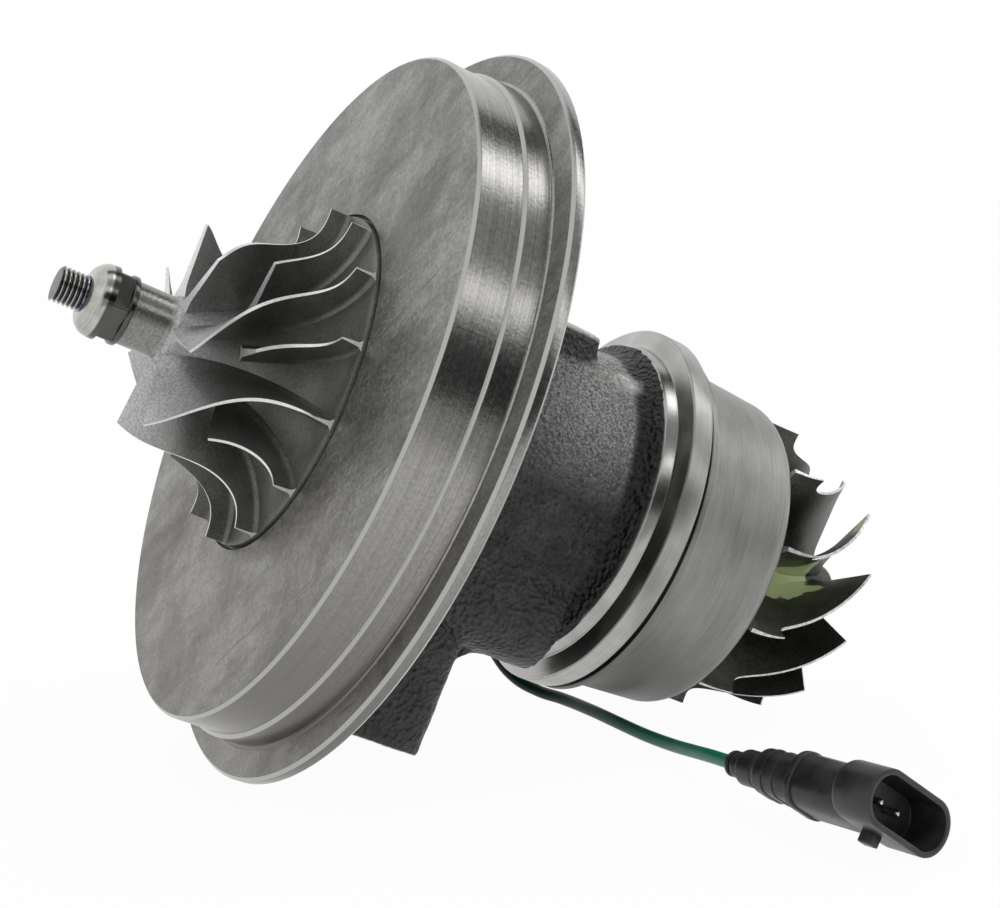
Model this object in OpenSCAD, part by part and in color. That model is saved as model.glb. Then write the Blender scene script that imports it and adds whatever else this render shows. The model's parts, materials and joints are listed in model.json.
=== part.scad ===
// Turbocharger cartridge: the centre housing and rotating assembly of a heavy diesel engine.
// It lies on a bench on its flange rim and turbine tips, with its speed sensor's lead beside it.
// Local z runs along the rotor from compressor to turbine, local x points down, local y to the far side.
// Local z = 0 is the plane in which the compressor cover seats on the backplate flange.

/* [Pose] */
// Lean of the rotor axis, turbine end down
rest_tilt = 24.2; // [22:0.1:26]

/* [Compressor backplate] */
// Radius of the flange that the cover clamps to
flange_r = 106.4; // [104:0.1:110]
// Thickness of the flange at its rim
flange_t = 4; // [3:0.1:5]
// Radius of the pilot land that centres the cover
pilot_r = 97.2; // [96.6:0.1:98]
// Length of the pilot land
pilot_len = 7.7; // [6:0.1:10]
// Radius of the front land
face_r = 96; // [92:0.1:96.4]
// Length of the front land
face_len = 12.9; // [11:0.1:16]
// Thickness of the plate's web
web_t = 13; // [9:0.5:15]
// Inner radius of the plate's outer rim, behind the web
rim_inner_r = 90; // [84:0.5:92]
// Depth of the recess around the back of the compressor wheel
recess_depth = 1.6; // [1:0.1:2.5]
// Radius of the centre bore that the seal sleeve turns in
plate_bore_r = 13; // [12.5:0.1:16]

/* [Bearing housing] */
// Radius of the housing's bolting flange
house_flange_r = 62; // [62:0.5:67]
// Thickness of the bolting flange
house_flange_t = 12; // [9:0.5:14]
// Radius of the cast body
body_r = 42; // [40.5:0.5:42.5]
// Radius of the machined neck in front of the V-band rim
neck_r = 47.5; // [46:0.5:49]
// Radius of the V-band rim
vband_r = 54.2; // [53:0.2:58]
// Width of the V-band rim
vband_w = 6.8; // [5:0.2:9]
// Distance from the cover's seat plane to the front of the V-band rim
vband_z = 76; // [74:0.5:78]
// Radius of the turbine seal bore
seal_bore_r = 15.5; // [15.2:0.1:16.5]
// Radius of the nose that carries the turbine seal bore
nose_r = 24; // [21:0.5:28]
// Height of the oil inlet pad above the rotor axis
inlet_h = 43.5; // [43:0.5:48]
// Distance of the oil inlet from the seat plane
inlet_z = 40; // [38:0.5:43]
// Radius of the oil inlet bore
inlet_bore_r = 6.5; // [4.5:0.1:7.5]
// Spacing of the oil inlet's two screws
inlet_pitch = 38; // [36:0.5:42]
// Depth of the oil drain face below the rotor axis
drain_h = 82; // [78:0.5:86]
// Distance of the oil drain from the seat plane
drain_z = 28; // [27:0.5:30]
// Radius of the oil drain bore
drain_bore_r = 13; // [10:0.1:13.5]
// Spacing of the oil drain's two screws
drain_pitch = 46; // [44:0.5:49]

/* [Bearings] */
// Radius of the shaft in its journal bearings
journal_r = 8; // [7:0.1:8.6]
// Wall of each floating journal bearing
bush_wall = 4; // [3.4:0.1:4.6]
// Length of each journal bearing
bush_len = 13; // [10:0.5:14]
// Thickness of the thrust bearing
thrust_t = 5; // [4:0.1:6]
// Radius of the thrust bearing
thrust_r = 30.8; // [28:0.2:32]
// Radius of the thrust collar's flange
collar_r = 15; // [13:0.2:15.6]

/* [Rotor] */
// Radius of the shaft's compressor stub
stub_r = 6; // [5.6:0.1:6.4]
// Radius of the thread at the shaft's compressor end
thread_r = 5; // [4.5:0.1:5.4]
// Outer radius of the compressor wheel
wheel_r = 48; // [44:0.1:50]
// Tip radius of the compressor wheel at its inlet
inducer_r = 30; // [28:0.1:33]
// Height of the compressor blades at the wheel's outer edge
exit_h = 5.7; // [4:0.1:7]
// Axial length of the compressor blades
blade_len = 36.2; // [33:0.1:38]
// Number of full compressor blades, each with one short blade beside it
blade_count = 7; // [5:1:8]
// Outer radius of the turbine wheel
turbine_r = 44.5; // [42:0.1:46]
// Tip radius of the turbine wheel at its outlet
exducer_r = 37; // [35:0.1:39]
// Number of turbine blades
turbine_blades = 11; // [9:1:12]

/* [Heat shield] */
// Radius of the shield's drum
shield_r = 49.4; // [48.4:0.2:50]
// Length of the shield past its rim
shield_len = 34.4; // [32:0.2:36]
// Sheet thickness of the shield
shield_t = 2; // [1.2:0.1:2.5]

/* [Speed sensor] */
// Radius of the sensor's plug
sensor_r = 6; // [5.2:0.1:6.6]
// Direction of the sensor around the axis, from straight down to the far side
sensor_angle = 62; // [58:1:66]
// Distance from the rotor axis to the sensor's seat
sensor_seat = 56; // [53:0.5:58]
// Radius of the lead
cord_r = 1.85; // [1.5:0.05:1.95]

/* [Connector] */
// Width of the connector's mouth
plug_w = 31.4; // [29:0.2:33]
// Height of the connector's mouth
plug_h = 14.8; // [14:0.2:16]
// Wall of the connector's shell
plug_wall = 1.6; // [1.2:0.1:2]

/* [Hidden] */
$fn = 96;
slip = 0.02;          // radial slip between pieces of one stack
film = 0.03;          // oil film at the shaft's running fits
outer_film = 0.06;    // oil film between a floating bearing and the housing
play = 0.3;           // room between pieces that turn and pieces that stand
thrust_play = 0.1;    // axial play at each thrust face
edge = 0.8;           // edge break of the machined rims

// Stations along the rotor axis, front to back
face_z = -(face_len + pilot_len);
root_w = 0.5;
root_r = pilot_r + 1;
joint_z = 2;                                       // face between backplate and housing
register_h = 2;                                    // depth of the backplate's register around the housing
seal_plate_t = 7;
seal_floor_z = joint_z + 3 + seal_plate_t;
deflector_t = 1.2;
thrust_z = seal_floor_z + deflector_t;
thrust_floor_z = thrust_z + thrust_t;
washer_t = 2.5;
washer_floor_z = thrust_floor_z + washer_t + 0.7;
snap_t = 1.2;
snap_land = 1.2;
bush_gap = 0.2;
bush_pitch = 36.2;
bush1_z = washer_floor_z + snap_land + snap_t + 2 * bush_gap;
bush2_z = bush1_z + bush_pitch;
ring_step = bush_len + 2 * bush_gap + snap_t;      // from the front ring of a bearing to its rear ring
cavity_z0 = bush1_z + bush_len + 2 * bush_gap + snap_t + snap_land;
cavity_z1 = bush2_z - 2 * bush_gap - snap_t - snap_land;
cavity_mid = (cavity_z0 + cavity_z1) / 2;
sling_z = bush2_z + bush_len + 2 * bush_gap + snap_t + snap_land;
vband_end = vband_z + vband_w;
shield_seat = vband_end + 1.6;
nose_end = shield_seat + shield_len - 10;
seal_z = nose_end - 18;
shield_end = shield_seat + shield_len;
shield_sag = 1.2;                                  // drop of the shield, loose until it is clamped
shield_rim_r = vband_r - 0.2 - shield_sag;
shield_taper = 1.6;                                // loss of the drum's radius towards the turbine

// Rotor stack: wheel, seal sleeve, thrust collar and thrust washer against the shaft's shoulder
wheel_back_z = face_z + recess_depth - 0.5;
collar_flange_t = 3;
collar_z = thrust_z - thrust_play - collar_flange_t;
washer_z = thrust_floor_z + thrust_play;
shoulder_z = washer_z + washer_t;
rim_t = 1.9;
exit_z = wheel_back_z - rim_t;                     // hub edge of the blades at the wheel's outer edge
inlet_blade_z = exit_z - blade_len;
root_hub_r = stub_r + 3.5;
wheel_nose_r = stub_r + 2.75;
wheel_nose_z = inlet_blade_z - 12;
balance_cut = 0.5;
balance_len = 8;
nut_len = 12;
nut_dome = 4.4;
nut_z = wheel_nose_z - nut_len;
thread_end = nut_z - 7.6;
weld_z = seal_z + 1;
turbine_z = shield_end + 0.9;                      // back of the turbine wheel
turbine_inlet_w = 11.3;
exducer_z = turbine_z + 35.8;
turbine_hub_r = 10.5;
turbine_nose_z = exducer_z + 9;

// Sizes of the inner pieces
bush_r = journal_r + film + bush_wall;
bearing_bore_r = bush_r + outer_film;
snap_groove_r = bearing_bore_r + 1.2;
seal_plate_r = thrust_r + 7;
seal_recess_r = seal_plate_r + 0.1;
thrust_recess_r = thrust_r + 0.2;
washer_pocket_r = collar_r + 2;
collar_sleeve_r = stub_r + 3.2;
sleeve_r = stub_r + 3.5;
sleeve_seal_r = stub_r + 5.6;
ring_bore_r = sleeve_seal_r + 0.4;
ring_w = 1.4;
hub_seal_r = seal_bore_r - 0.5;
shield_hole_r = hub_seal_r + 1.5 + shield_sag;
cavity_r = bearing_bore_r + 8;
sling_r = seal_bore_r + 2.5;
o_ring_r = 1.5;
plate_o_ring_r = seal_plate_r + 8;
house_bolts = 6;
house_bolt_step = 52;
house_bolt_r = 4;
body_fillet = 3.2;
house_washer_r = 1.85 * house_bolt_r;
house_bolt_circle = body_r + body_fillet + house_washer_r + 0.4;
pad_screw_r = 3.4;
pad_screw_depth = 14;
drain_half_z = 17.5;
drain_fillet = 10;
drain_half_y = drain_pitch / 2 + 7;
drain_depth = 30;
drain_screw_r = 4.25;
drain_screw_depth = 18;
sump_z0 = joint_z + house_flange_t + 8;
sump_z1 = vband_z - 9;
sump_h = body_r + 8;
sump_half_y = body_r - 6;
inlet_half_z = 12.5;
inlet_half_y = inlet_pitch / 2 + 8;

// Bench below the part, on which the flange rim rests
bench_z = -((flange_t - edge) * sin(rest_tilt) + flange_r * cos(rest_tilt));

// Sensor's own sizes, outward from its seat
sensor_z = cavity_mid - 2.6;
sensor_tip = journal_r + 1.5;
flat_cut = 0.6;
flat_len = 8;
sensor_plate_t = 4;
sensor_screw_x = 17;
sensor_screw_r = 2.5;
head_h = 10;
outlet_h = 9;
gland_x = 12;
gland_len = 6;

// Lead of the sensor, as it drops behind the housing and lies under the heat shield
cord_start = lay(at(sensor_seat + outlet_h, sensor_angle, sensor_z + gland_x + gland_len));
cord_pts = [cord_start, [51, 57.1, -56.4], [55.5, 55.5, -62], [58, 52.5, -70.5], [59.2, 48.5, -79],
            [61, 44, -86.5], [64.5, 38, -92.5], [69.3, 31, -95.6], [73.5, 22.4, -96.4], [76.1, 6.9, -96.4],
            [77.6, -8.2, -96.4], [79, -22.1, -96.4], [79.8, -37, -95.4], [78.6, -52.6, -92.9], [77.1, -65, -90.6],
            [75.8, -79.7, -88.3]];
cord_sides = 8;

// Connector at the end of the lead, as it lies on the bench
plug_at = cord_pts[len(cord_pts) - 1];
plug_yaw = 13;
plug_rise = 2.7;
plug_roll = -34.6;
plug_run = [sin(plug_yaw) * cos(plug_rise), -cos(plug_yaw) * cos(plug_rise), sin(plug_rise)];
boot_len = 5.3;
boot_r = 3.5;
collar_len = 9.2;
plug_collar_r = 4.8;
cap_len = 23.1;
cap_w = 15;
cap_h = 12;
cap_end = boot_len + cap_len;
body_w = 18.4;
body_h = 14.2;
body_ring_w = 2.4;
body_floor = 38;
skirt_z = 48.8;
plug_len = 62;
plug_corner = plug_h / 2 - 0.1;
lug_w = 5;
latch_w = 3.4;
pin_pitch = 7;
pin_r = 1;
pin_root = body_floor - 7.5;
pin_end = 55.6;

function mix(a, b, t) = a + (b - a) * t;

// Points of an arc, for the round stretches of an outline
function arc(c, r, a0, a1, n = 6) =
    [for (i = [0:n]) let (a = mix(a0, a1, i / n)) [c[0] + r * cos(a), c[1] + r * sin(a)]];

// Outline of a rectangle with round corners, about its centre
function round_rect(w, h, r) = concat(
    arc([w / 2 - r, h / 2 - r], r, 0, 90), arc([r - w / 2, h / 2 - r], r, 90, 180),
    arc([r - w / 2, r - h / 2], r, 180, 270), arc([w / 2 - r, r - h / 2], r, 270, 360));

// A point at a radius, an angle and a height
function at(r, a, z) = [r * cos(a), r * sin(a), z];

// Lays the rotor axis down as the cartridge rests on the bench, for a point and for a piece
function lay(p) = [p[2] * cos(rest_tilt) - p[0] * sin(rest_tilt), p[1],
                   -p[2] * sin(rest_tilt) - p[0] * cos(rest_tilt)];
module lie() { rotate([0, 90 + rest_tilt, 0]) children(); }

// Revolves an outline of [radius, z] points
module spin(points) { rotate_extrude() polygon(points); }

// A ring between two radii and two heights
module ring(r0, r1, z0, z1) {
    rotate_extrude() translate([r0, z0]) square([r1 - r0, z1 - z0]);
}

// A ring of round section
module torus(r, section_r, z) { translate([0, 0, z]) rotate_extrude() translate([r, 0]) circle(r = section_r); }

// An open ring, with its gap on the upper side
module open_ring(r0, r1, z0, z1, gap = 24) {
    rotate(180 + gap / 2) rotate_extrude(angle = 360 - gap) translate([r0, z0]) square([r1 - r0, z1 - z0]);
}

// A cylinder from one point to another
module rod(a, b, r) {
    d = b - a;
    translate(a) rotate([0, acos(d[2] / norm(d)), atan2(d[1], d[0])]) cylinder(r = r, h = norm(d));
}

// Places a piece on the sensor's seat, with z outward and -x towards the turbine
module at_sensor() {
    lie() rotate(sensor_angle) translate([sensor_seat, 0, sensor_z]) rotate([0, 90, 0]) children();
}

// Places a piece on the connector's axis, with z towards its mouth
module at_plug() {
    translate(plug_at) rotate([90 - plug_rise, 0, plug_yaw]) rotate(plug_roll) children();
}

// Places the housing's bolts around the bolting flange, clear of the drain block
module at_house_bolts() {
    for (i = [0:house_bolts - 1])
        rotate(180 + house_bolt_step * (i - (house_bolts - 1) / 2)) translate([house_bolt_circle, 0, 0]) children();
}

// Places the thrust bearing's screws
module at_thrust_screws() {
    for (a = [60, 180, 300]) rotate(a) translate([thrust_r - 6, 0, 0]) children();
}

module compressor_backplate() color("silver") lie() difference() {
    spin(concat(
        [[plate_bore_r, face_z + recess_depth], [wheel_r + 1, face_z + recess_depth], [wheel_r + 1, face_z],
         [face_r - edge, face_z], [face_r, face_z + edge], [face_r, -pilot_len],
         [pilot_r - edge / 2, -pilot_len], [pilot_r, edge / 2 - pilot_len], [pilot_r, -root_w],
         [root_r, -root_w], [root_r, 0], [flange_r - edge, 0], [flange_r, edge], [flange_r, flange_t - edge],
         [flange_r - edge, flange_t], [rim_inner_r, flange_t]],
        arc([rim_inner_r - 4, face_z + web_t + 4], 4, 0, -90),
        arc([house_flange_r + 10, face_z + web_t + 4], 4, -90, -180),
        [[house_flange_r + 6, joint_z + register_h], [house_flange_r + slip, joint_z + register_h],
         [house_flange_r + slip, joint_z], [plate_bore_r, joint_z]]));
    ring(plate_o_ring_r - 2, plate_o_ring_r + 2, joint_z - 2 * o_ring_r - 0.1, joint_z + 1);
    at_house_bolts() translate([0, 0, joint_z - 12]) cylinder(r = house_bolt_r + slip, h = 13);
}

module backplate_bolts() color("gray") lie() at_house_bolts() {
    translate([0, 0, joint_z - 11]) cylinder(r = house_bolt_r, h = house_flange_t + 11);
    translate([0, 0, joint_z + house_flange_t]) cylinder(r = house_washer_r, h = 1.2);
    translate([0, 0, joint_z + house_flange_t + 1.2]) cylinder(r = 1.6 * house_bolt_r, h = 5, $fn = 6);
}

module backplate_o_ring() color("black") lie() torus(plate_o_ring_r, o_ring_r, joint_z - o_ring_r - 0.05);

// Cast body: bolting flange, round body, flare, V-band rim and the nose inside the heat shield
module housing_body() {
    spin(concat(
        [[0, joint_z], [house_flange_r, joint_z], [house_flange_r, joint_z + house_flange_t]],
        arc([body_r + body_fillet, joint_z + house_flange_t + body_fillet], body_fillet, -90, -180),
        arc([body_r + 12, vband_z - 14], 12, 180, 146),
        [[neck_r, vband_z - 6], [neck_r, vband_z - 4.6], [neck_r + 1, vband_z - 1.1],
         [vband_r - 0.4, vband_z], [vband_r, vband_z + 0.6], [vband_r, vband_end - 0.6],
         [vband_r - 0.6, vband_end], [shield_r - 1, vband_end], [shield_r - 1, shield_seat],
         [nose_r + 8, shield_seat]],
        arc([nose_r + 8, shield_seat + 8], 8, -90, -180),
        [[nose_r, nose_end], [0, nose_end]]));
}

// Cast pads for oil and the speed sensor
module housing_pads() {
    translate([-inlet_h, 0, inlet_z]) rotate([0, 90, 0])
        linear_extrude(inlet_h - 18) polygon(round_rect(2 * inlet_half_z, 2 * inlet_half_y, 8));
    translate([18, 0, drain_z]) rotate([0, 90, 0])
        linear_extrude(drain_h - 18) polygon(round_rect(2 * drain_half_z, 2 * drain_half_y, 6));
    translate([sump_h / 2, 0, sump_z0])
        linear_extrude(sump_z1 - sump_z0) polygon(round_rect(sump_h, 2 * sump_half_y, 14));
    // hollow corner between the sump's underside and the drain's neck
    rotate([90, 0, 0]) linear_extrude(2 * drain_half_y - 16, center = true) polygon(concat(
        [[sump_h - 1, drain_z], [sump_h - 1, drain_z + drain_half_z + drain_fillet]],
        arc([sump_h + drain_fillet, drain_z + drain_half_z + drain_fillet], drain_fillet, 180, 270),
        [[sump_h + drain_fillet, drain_z]]));
    rotate(sensor_angle) translate([cavity_r + 6, 0, sensor_z]) rotate([0, 90, 0]) {
        cylinder(r = sensor_r + 5, h = sensor_seat - cavity_r - 6);
        translate([sensor_screw_x, 0, 0]) cylinder(r = sensor_screw_r + 4, h = sensor_seat - cavity_r - 6);
        translate([0, -sensor_screw_r - 4, 0]) cube([sensor_screw_x, 2 * sensor_screw_r + 8, sensor_seat - cavity_r - 6]);
    }
}

// Bores for the seal plate, the bearings and the rotor, from front to back
module housing_bores() {
    ring(0, seal_recess_r, joint_z - 1, seal_floor_z);
    ring(0, seal_plate_r + 2, joint_z + 0.9, joint_z + 3);
    ring(0, thrust_recess_r, seal_floor_z - 1, thrust_floor_z);
    ring(0, washer_pocket_r, thrust_floor_z - 1, washer_floor_z);
    ring(0, bearing_bore_r, washer_floor_z - 1, sling_z + 1);
    for (z = [bush1_z, bush2_z], s = [0, ring_step])
        ring(0, snap_groove_r, z - bush_gap - snap_t - 0.05 + s, z - bush_gap + 0.05 + s);
    ring(0, cavity_r, cavity_z0, cavity_z1);
    ring(0, sling_r, sling_z, seal_z);
    ring(0, seal_bore_r, seal_z - 1, nose_end + 1);
}

// Oil ways: feed from the inlet to both bearings, sump and drain
module housing_oil_ways() {
    feed = [-inlet_h + 18, 0, inlet_z];
    translate([-inlet_h - 1, 0, inlet_z]) rotate([0, 90, 0]) cylinder(r = inlet_bore_r, h = 19);
    for (z = [bush1_z, bush2_z]) rod(feed + [-3, 0, 0], [-bearing_bore_r + 1, 0, z + bush_len / 2], 2);
    translate([bearing_bore_r + 5, -12, washer_floor_z - 1])
        cube([16, 24, cavity_z1 - washer_floor_z + 1]);
    rod([bearing_bore_r + 9, 0, cavity_z1 - 2], [sling_r - 2, 0, sling_z + 6], 3.5);
    translate([bearing_bore_r + 16, 0, drain_z]) rotate([0, 90, 0])
        cylinder(r = drain_bore_r - 1.5, h = drain_h - bearing_bore_r - 15);
    translate([drain_h - drain_depth, 0, drain_z]) rotate([0, 90, 0])
        cylinder(r = drain_bore_r, h = drain_depth + 1);
    for (s = [-1, 1]) {
        translate([-inlet_h - 1, s * inlet_pitch / 2, inlet_z]) rotate([0, 90, 0])
            cylinder(r = pad_screw_r, h = pad_screw_depth + 1);
        translate([drain_h - drain_screw_depth, s * drain_pitch / 2, drain_z]) rotate([0, 90, 0])
            cylinder(r = drain_screw_r, h = drain_screw_depth + 1);
    }
}

module bearing_housing() {
    color("dimgray") difference() {
        lie() difference() {
            union() {
                housing_body();
                housing_pads();
            }
            housing_bores();
            housing_oil_ways();
            at_house_bolts() translate([0, 0, joint_z - 1]) cylinder(r = house_bolt_r + play, h = house_flange_t + 2);
            at_thrust_screws() translate([0, 0, thrust_floor_z - 1]) cylinder(r = 2 + slip, h = 10);
        }
        at_sensor() {
            translate([0, 0, cavity_r - sensor_seat - 4]) cylinder(r = sensor_r + 0.05, h = sensor_seat - cavity_r + 5);
            translate([sensor_screw_x, 0, -11]) cylinder(r = sensor_screw_r + slip, h = 12);
        }
    }
}

module oil_seal_plate() color("slategray") lie() difference() {
    spin([[ring_bore_r, joint_z + 1.5], [ring_bore_r + 4, joint_z + 1.5], [ring_bore_r + 6, joint_z + 3],
          [seal_plate_r, joint_z + 3], [seal_plate_r, seal_floor_z], [thrust_r - 2.8, seal_floor_z],
          [thrust_r - 4.8, joint_z + 6], [ring_bore_r, joint_z + 6]]);
    ring(seal_plate_r - 2 * o_ring_r - 0.05, seal_plate_r + 1, joint_z + 4.5, joint_z + 4.5 + 2 * o_ring_r + 0.4);
}

module seal_plate_o_ring() color("black") lie()
    torus(seal_plate_r - o_ring_r, o_ring_r, joint_z + 4.7 + o_ring_r);

module seal_plate_snap_ring() color("gray") lie()
    open_ring(seal_plate_r - 3, seal_plate_r + 1.9, joint_z + 1, joint_z + 3);

module oil_deflector() color("darkgray") lie() difference() {
    union() {
        ring(collar_r + 1.5, thrust_r, seal_floor_z, thrust_z);
        // tongue that throws the oil down into the sump
        translate([collar_r + 2, -9, seal_floor_z - 3]) cube([1.2, 18, 3]);
    }
}

module thrust_bearing() color("peru") lie() difference() {
    ring(collar_sleeve_r + 0.4, thrust_r, thrust_z, thrust_floor_z);
    at_thrust_screws() {
        translate([0, 0, thrust_z - 1]) cylinder(r = 2 + play, h = thrust_t + 2);
        translate([0, 0, thrust_z - 1]) cylinder(r = 3.8, h = 3.6);
    }
    // oil drain notch at the bottom
    translate([collar_r + 3, -8, thrust_z - 1]) cube([thrust_r, 16, thrust_t + 2]);
    // pad grooves on both faces
    for (a = [15:60:345], z = [thrust_z, thrust_floor_z]) rotate(a)
        translate([0, -0.75, z - 0.4]) cube([collar_r, 1.5, 0.8]);
}

module thrust_screws() color("gray") lie() at_thrust_screws() {
    translate([0, 0, thrust_z + 0.2]) cylinder(r = 3.5, h = 2.4);
    translate([0, 0, thrust_z + 2.6]) cylinder(r = 2, h = thrust_t + 4);
}

module bearing_snap_rings() color("gray") lie()
    for (z = [bush1_z, bush2_z], s = [0, ring_step])
        open_ring(journal_r + 1.6, snap_groove_r - 0.05, z - bush_gap - snap_t + s, z - bush_gap + s);

// Floating bearing with a ring of oil holes
module journal_bearing(z) difference() {
    ring(journal_r + film, bush_r, z, z + bush_len);
    for (a = [0:60:300]) rotate(a) translate([journal_r - 1, 0, z + bush_len / 2]) rotate([0, 90, 0])
        cylinder(r = 1.6, h = bush_wall + 3);
}

module journal_bearing_compressor() color("goldenrod") lie() journal_bearing(bush1_z);
module journal_bearing_turbine() color("goldenrod") lie() journal_bearing(bush2_z);

module compressor_piston_ring() color("gray") lie()
    open_ring(sleeve_seal_r - 2, ring_bore_r - slip, joint_z + 3.8, joint_z + 3.8 + ring_w, 6);

module turbine_piston_rings() color("gray") lie()
    for (z = [seal_z + 7, seal_z + 12]) open_ring(hub_seal_r - 2, seal_bore_r - slip, z, z + ring_w, 6);

// Drum of sheet steel that closes the housing towards the turbine
module heat_shield() color("darkgray") lie() translate([shield_sag, 0, 0]) {
    shoulder_r = 6;
    crown_r = shield_r - shield_taper - shoulder_r;
    spin(concat(
        [[shield_r - shield_t, shield_seat], [shield_rim_r, shield_seat], [shield_rim_r, shield_seat + shield_t],
         [shield_r, shield_seat + shield_t]],
        arc([crown_r, shield_end - shoulder_r], shoulder_r, 0, 90),
        [[shield_hole_r, shield_end], [shield_hole_r, shield_end - shield_t]],
        arc([crown_r, shield_end - shoulder_r], shoulder_r - shield_t, 90, 0)));
}

module rotor_shaft() color("lightgray") lie() difference() {
    spin(concat(
        [[0, thread_end], [thread_r - 0.8, thread_end], [thread_r, thread_end + 0.8], [thread_r, wheel_nose_z + 2],
         [stub_r, wheel_nose_z + 3], [stub_r, shoulder_z], [journal_r - 0.4, shoulder_z],
         [journal_r, shoulder_z + 0.4]],
        [[journal_r, sling_z + 1]],
        arc([journal_r + 4, sling_z + 1], 4, 180, 90),
        [[hub_seal_r - 1.5, sling_z + 5], [hub_seal_r - 1.5, weld_z], [0, weld_z]]));
    // pair of flats that the speed sensor counts
    for (s = [-1, 1]) translate([s * (2 * journal_r - flat_cut), 0, sensor_z])
        cube([2 * journal_r, 2 * journal_r, flat_len], center = true);
}

module seal_sleeve() color("lightgray") lie()
    spin([[stub_r + slip, wheel_back_z], [sleeve_r, wheel_back_z], [sleeve_r, joint_z - 1],
          [sleeve_seal_r, joint_z + 1], [sleeve_seal_r, joint_z + 3.5], [sleeve_seal_r - 2.3, joint_z + 3.5],
          [sleeve_seal_r - 2.3, joint_z + 4.1 + ring_w], [sleeve_seal_r, joint_z + 4.1 + ring_w],
          [sleeve_seal_r, joint_z + 6.5], [collar_r, joint_z + 6.5], [collar_r, collar_z], [stub_r + slip, collar_z]]);

module thrust_collar() color("lightgray") lie()
    spin([[stub_r + slip, collar_z], [collar_r, collar_z], [collar_r, collar_z + collar_flange_t],
          [collar_sleeve_r, collar_z + collar_flange_t], [collar_sleeve_r, washer_z], [stub_r + slip, washer_z]]);

module thrust_washer() color("lightgray") lie()
    spin([[stub_r + slip, washer_z], [collar_r, washer_z], [collar_r, shoulder_z - 0.5], [collar_r - 0.5, shoulder_z],
          [stub_r + slip, shoulder_z]]);

// Triangles of a blade whose two skins are grids of (n + 1) x (m + 1) points
function skin_faces(n, m) = let (k = (n + 1) * (m + 1), w = m + 1) concat(
    [for (i = [0:n - 1], j = [0:m - 1], h = [0, 1]) let (p = i * w + j)
        h == 0 ? [p, p + 1, p + w + 1] : [p, p + w + 1, p + w]],
    [for (i = [0:n - 1], j = [0:m - 1], h = [0, 1]) let (p = k + i * w + j)
        h == 0 ? [p, p + w + 1, p + 1] : [p, p + w, p + w + 1]],
    [for (j = [0:m - 1], e = [0, n], h = [0, 1]) let (p = e * w + j)
        e == 0 ? (h == 0 ? [p, k + p, k + p + 1] : [p, k + p + 1, p + 1])
               : (h == 0 ? [p, k + p + 1, k + p] : [p, p + 1, k + p + 1])],
    [for (i = [0:n - 1], e = [0, m], h = [0, 1]) let (p = i * w + e)
        e == 0 ? (h == 0 ? [p, p + w, k + p + w] : [p, k + p + w, k + p])
               : (h == 0 ? [p, k + p + w, p + w] : [p, k + p, k + p + w])]);

// Compressor blade: hub and tip turn from axial to radial, and the camber wraps mostly near the inlet
wheel_phase = 21.5;
wheel_wrap = 50;
splitter_start = 0.31;
function wheel_hub(u, r = wheel_r) = [inlet_blade_z + blade_len * sin(90 * u), mix(r, root_hub_r, cos(90 * u))];
function wheel_tip(u, r) = [inlet_blade_z + (blade_len - exit_h) * pow(sin(90 * u), 0.9),
                            mix(r, inducer_r, pow(cos(90 * u), 0.7))];
function wheel_turn(u) = wheel_wrap * mix(pow(1 - u, 4.7), 1 - u, 0.12);
function wheel_half(u, v) = mix(1.5, 0.5, v) * (0.55 + 0.45 * sin(180 * min(1, 0.15 + 0.85 * u)));
function wheel_point(u, v, side) =
    let (r = wheel_r - 0.2, q = mix(wheel_hub(u, r), wheel_tip(u, r), v),
         lean = side * wheel_half(u, max(v, 0)) / q[1] * 57.3)
    at(q[1], wheel_turn(u) + lean, q[0]);
module wheel_blade(u0, n, m = 4) {
    polyhedron(points = [for (side = [1, -1], i = [0:n], j = [0:m])
                   wheel_point(mix(u0, 1, i / n), mix(-0.06, 1, j / m), side)],
               faces = skin_faces(n, m));
}

module compressor_wheel() color("gray") lie() difference() {
    union() {
        spin(concat(
            [[stub_r + slip, wheel_back_z], [stub_r + slip, wheel_nose_z], [wheel_nose_r, wheel_nose_z],
             [wheel_nose_r, inlet_blade_z - 1]],
            [for (i = [0:12]) let (q = wheel_hub(i / 12)) [q[1], q[0]]],
            [[wheel_r, wheel_back_z - 0.2], [wheel_r - 0.2, wheel_back_z]]));
        for (i = [0:blade_count - 1]) {
            rotate(wheel_phase + 360 / blade_count * i) wheel_blade(0, 16);
            rotate(wheel_phase + 360 / blade_count * (i + 0.5)) wheel_blade(splitter_start, 10);
        }
    }
    // balance cut on the nose
    translate([wheel_nose_r - balance_cut, -wheel_nose_r, wheel_nose_z - balance_cut])
        cube([wheel_nose_r, 2 * wheel_nose_r, balance_len + balance_cut]);
}

module compressor_nut() color("silver") lie() difference() {
    union() {
        spin(concat([[thread_r + slip, nut_z], [thread_r + 1.6, nut_z]],
            arc([thread_r + 1.2, nut_z + nut_dome], nut_dome, -85, -10),
            [[thread_r + 5, nut_z + 5], [thread_r + slip, nut_z + 5]]));
        intersection() {
            translate([0, 0, nut_z + 4.6]) cylinder(r = thread_r + 5.3, h = 6.2, $fn = 6);
            spin([[thread_r + slip, nut_z + 4.6], [thread_r + 4.4, nut_z + 4.6], [thread_r + 5.2, nut_z + 5.6],
                  [thread_r + 5.2, nut_z + 9.8], [thread_r + 4.4, nut_z + 10.8], [thread_r + slip, nut_z + 10.8]]);
        }
        ring(thread_r + slip, thread_r + 4.7, nut_z + 10.4, wheel_nose_z);
    }
    translate([0, 0, nut_z - 1]) cylinder(r = thread_r + slip, h = nut_len + 2);
}

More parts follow.
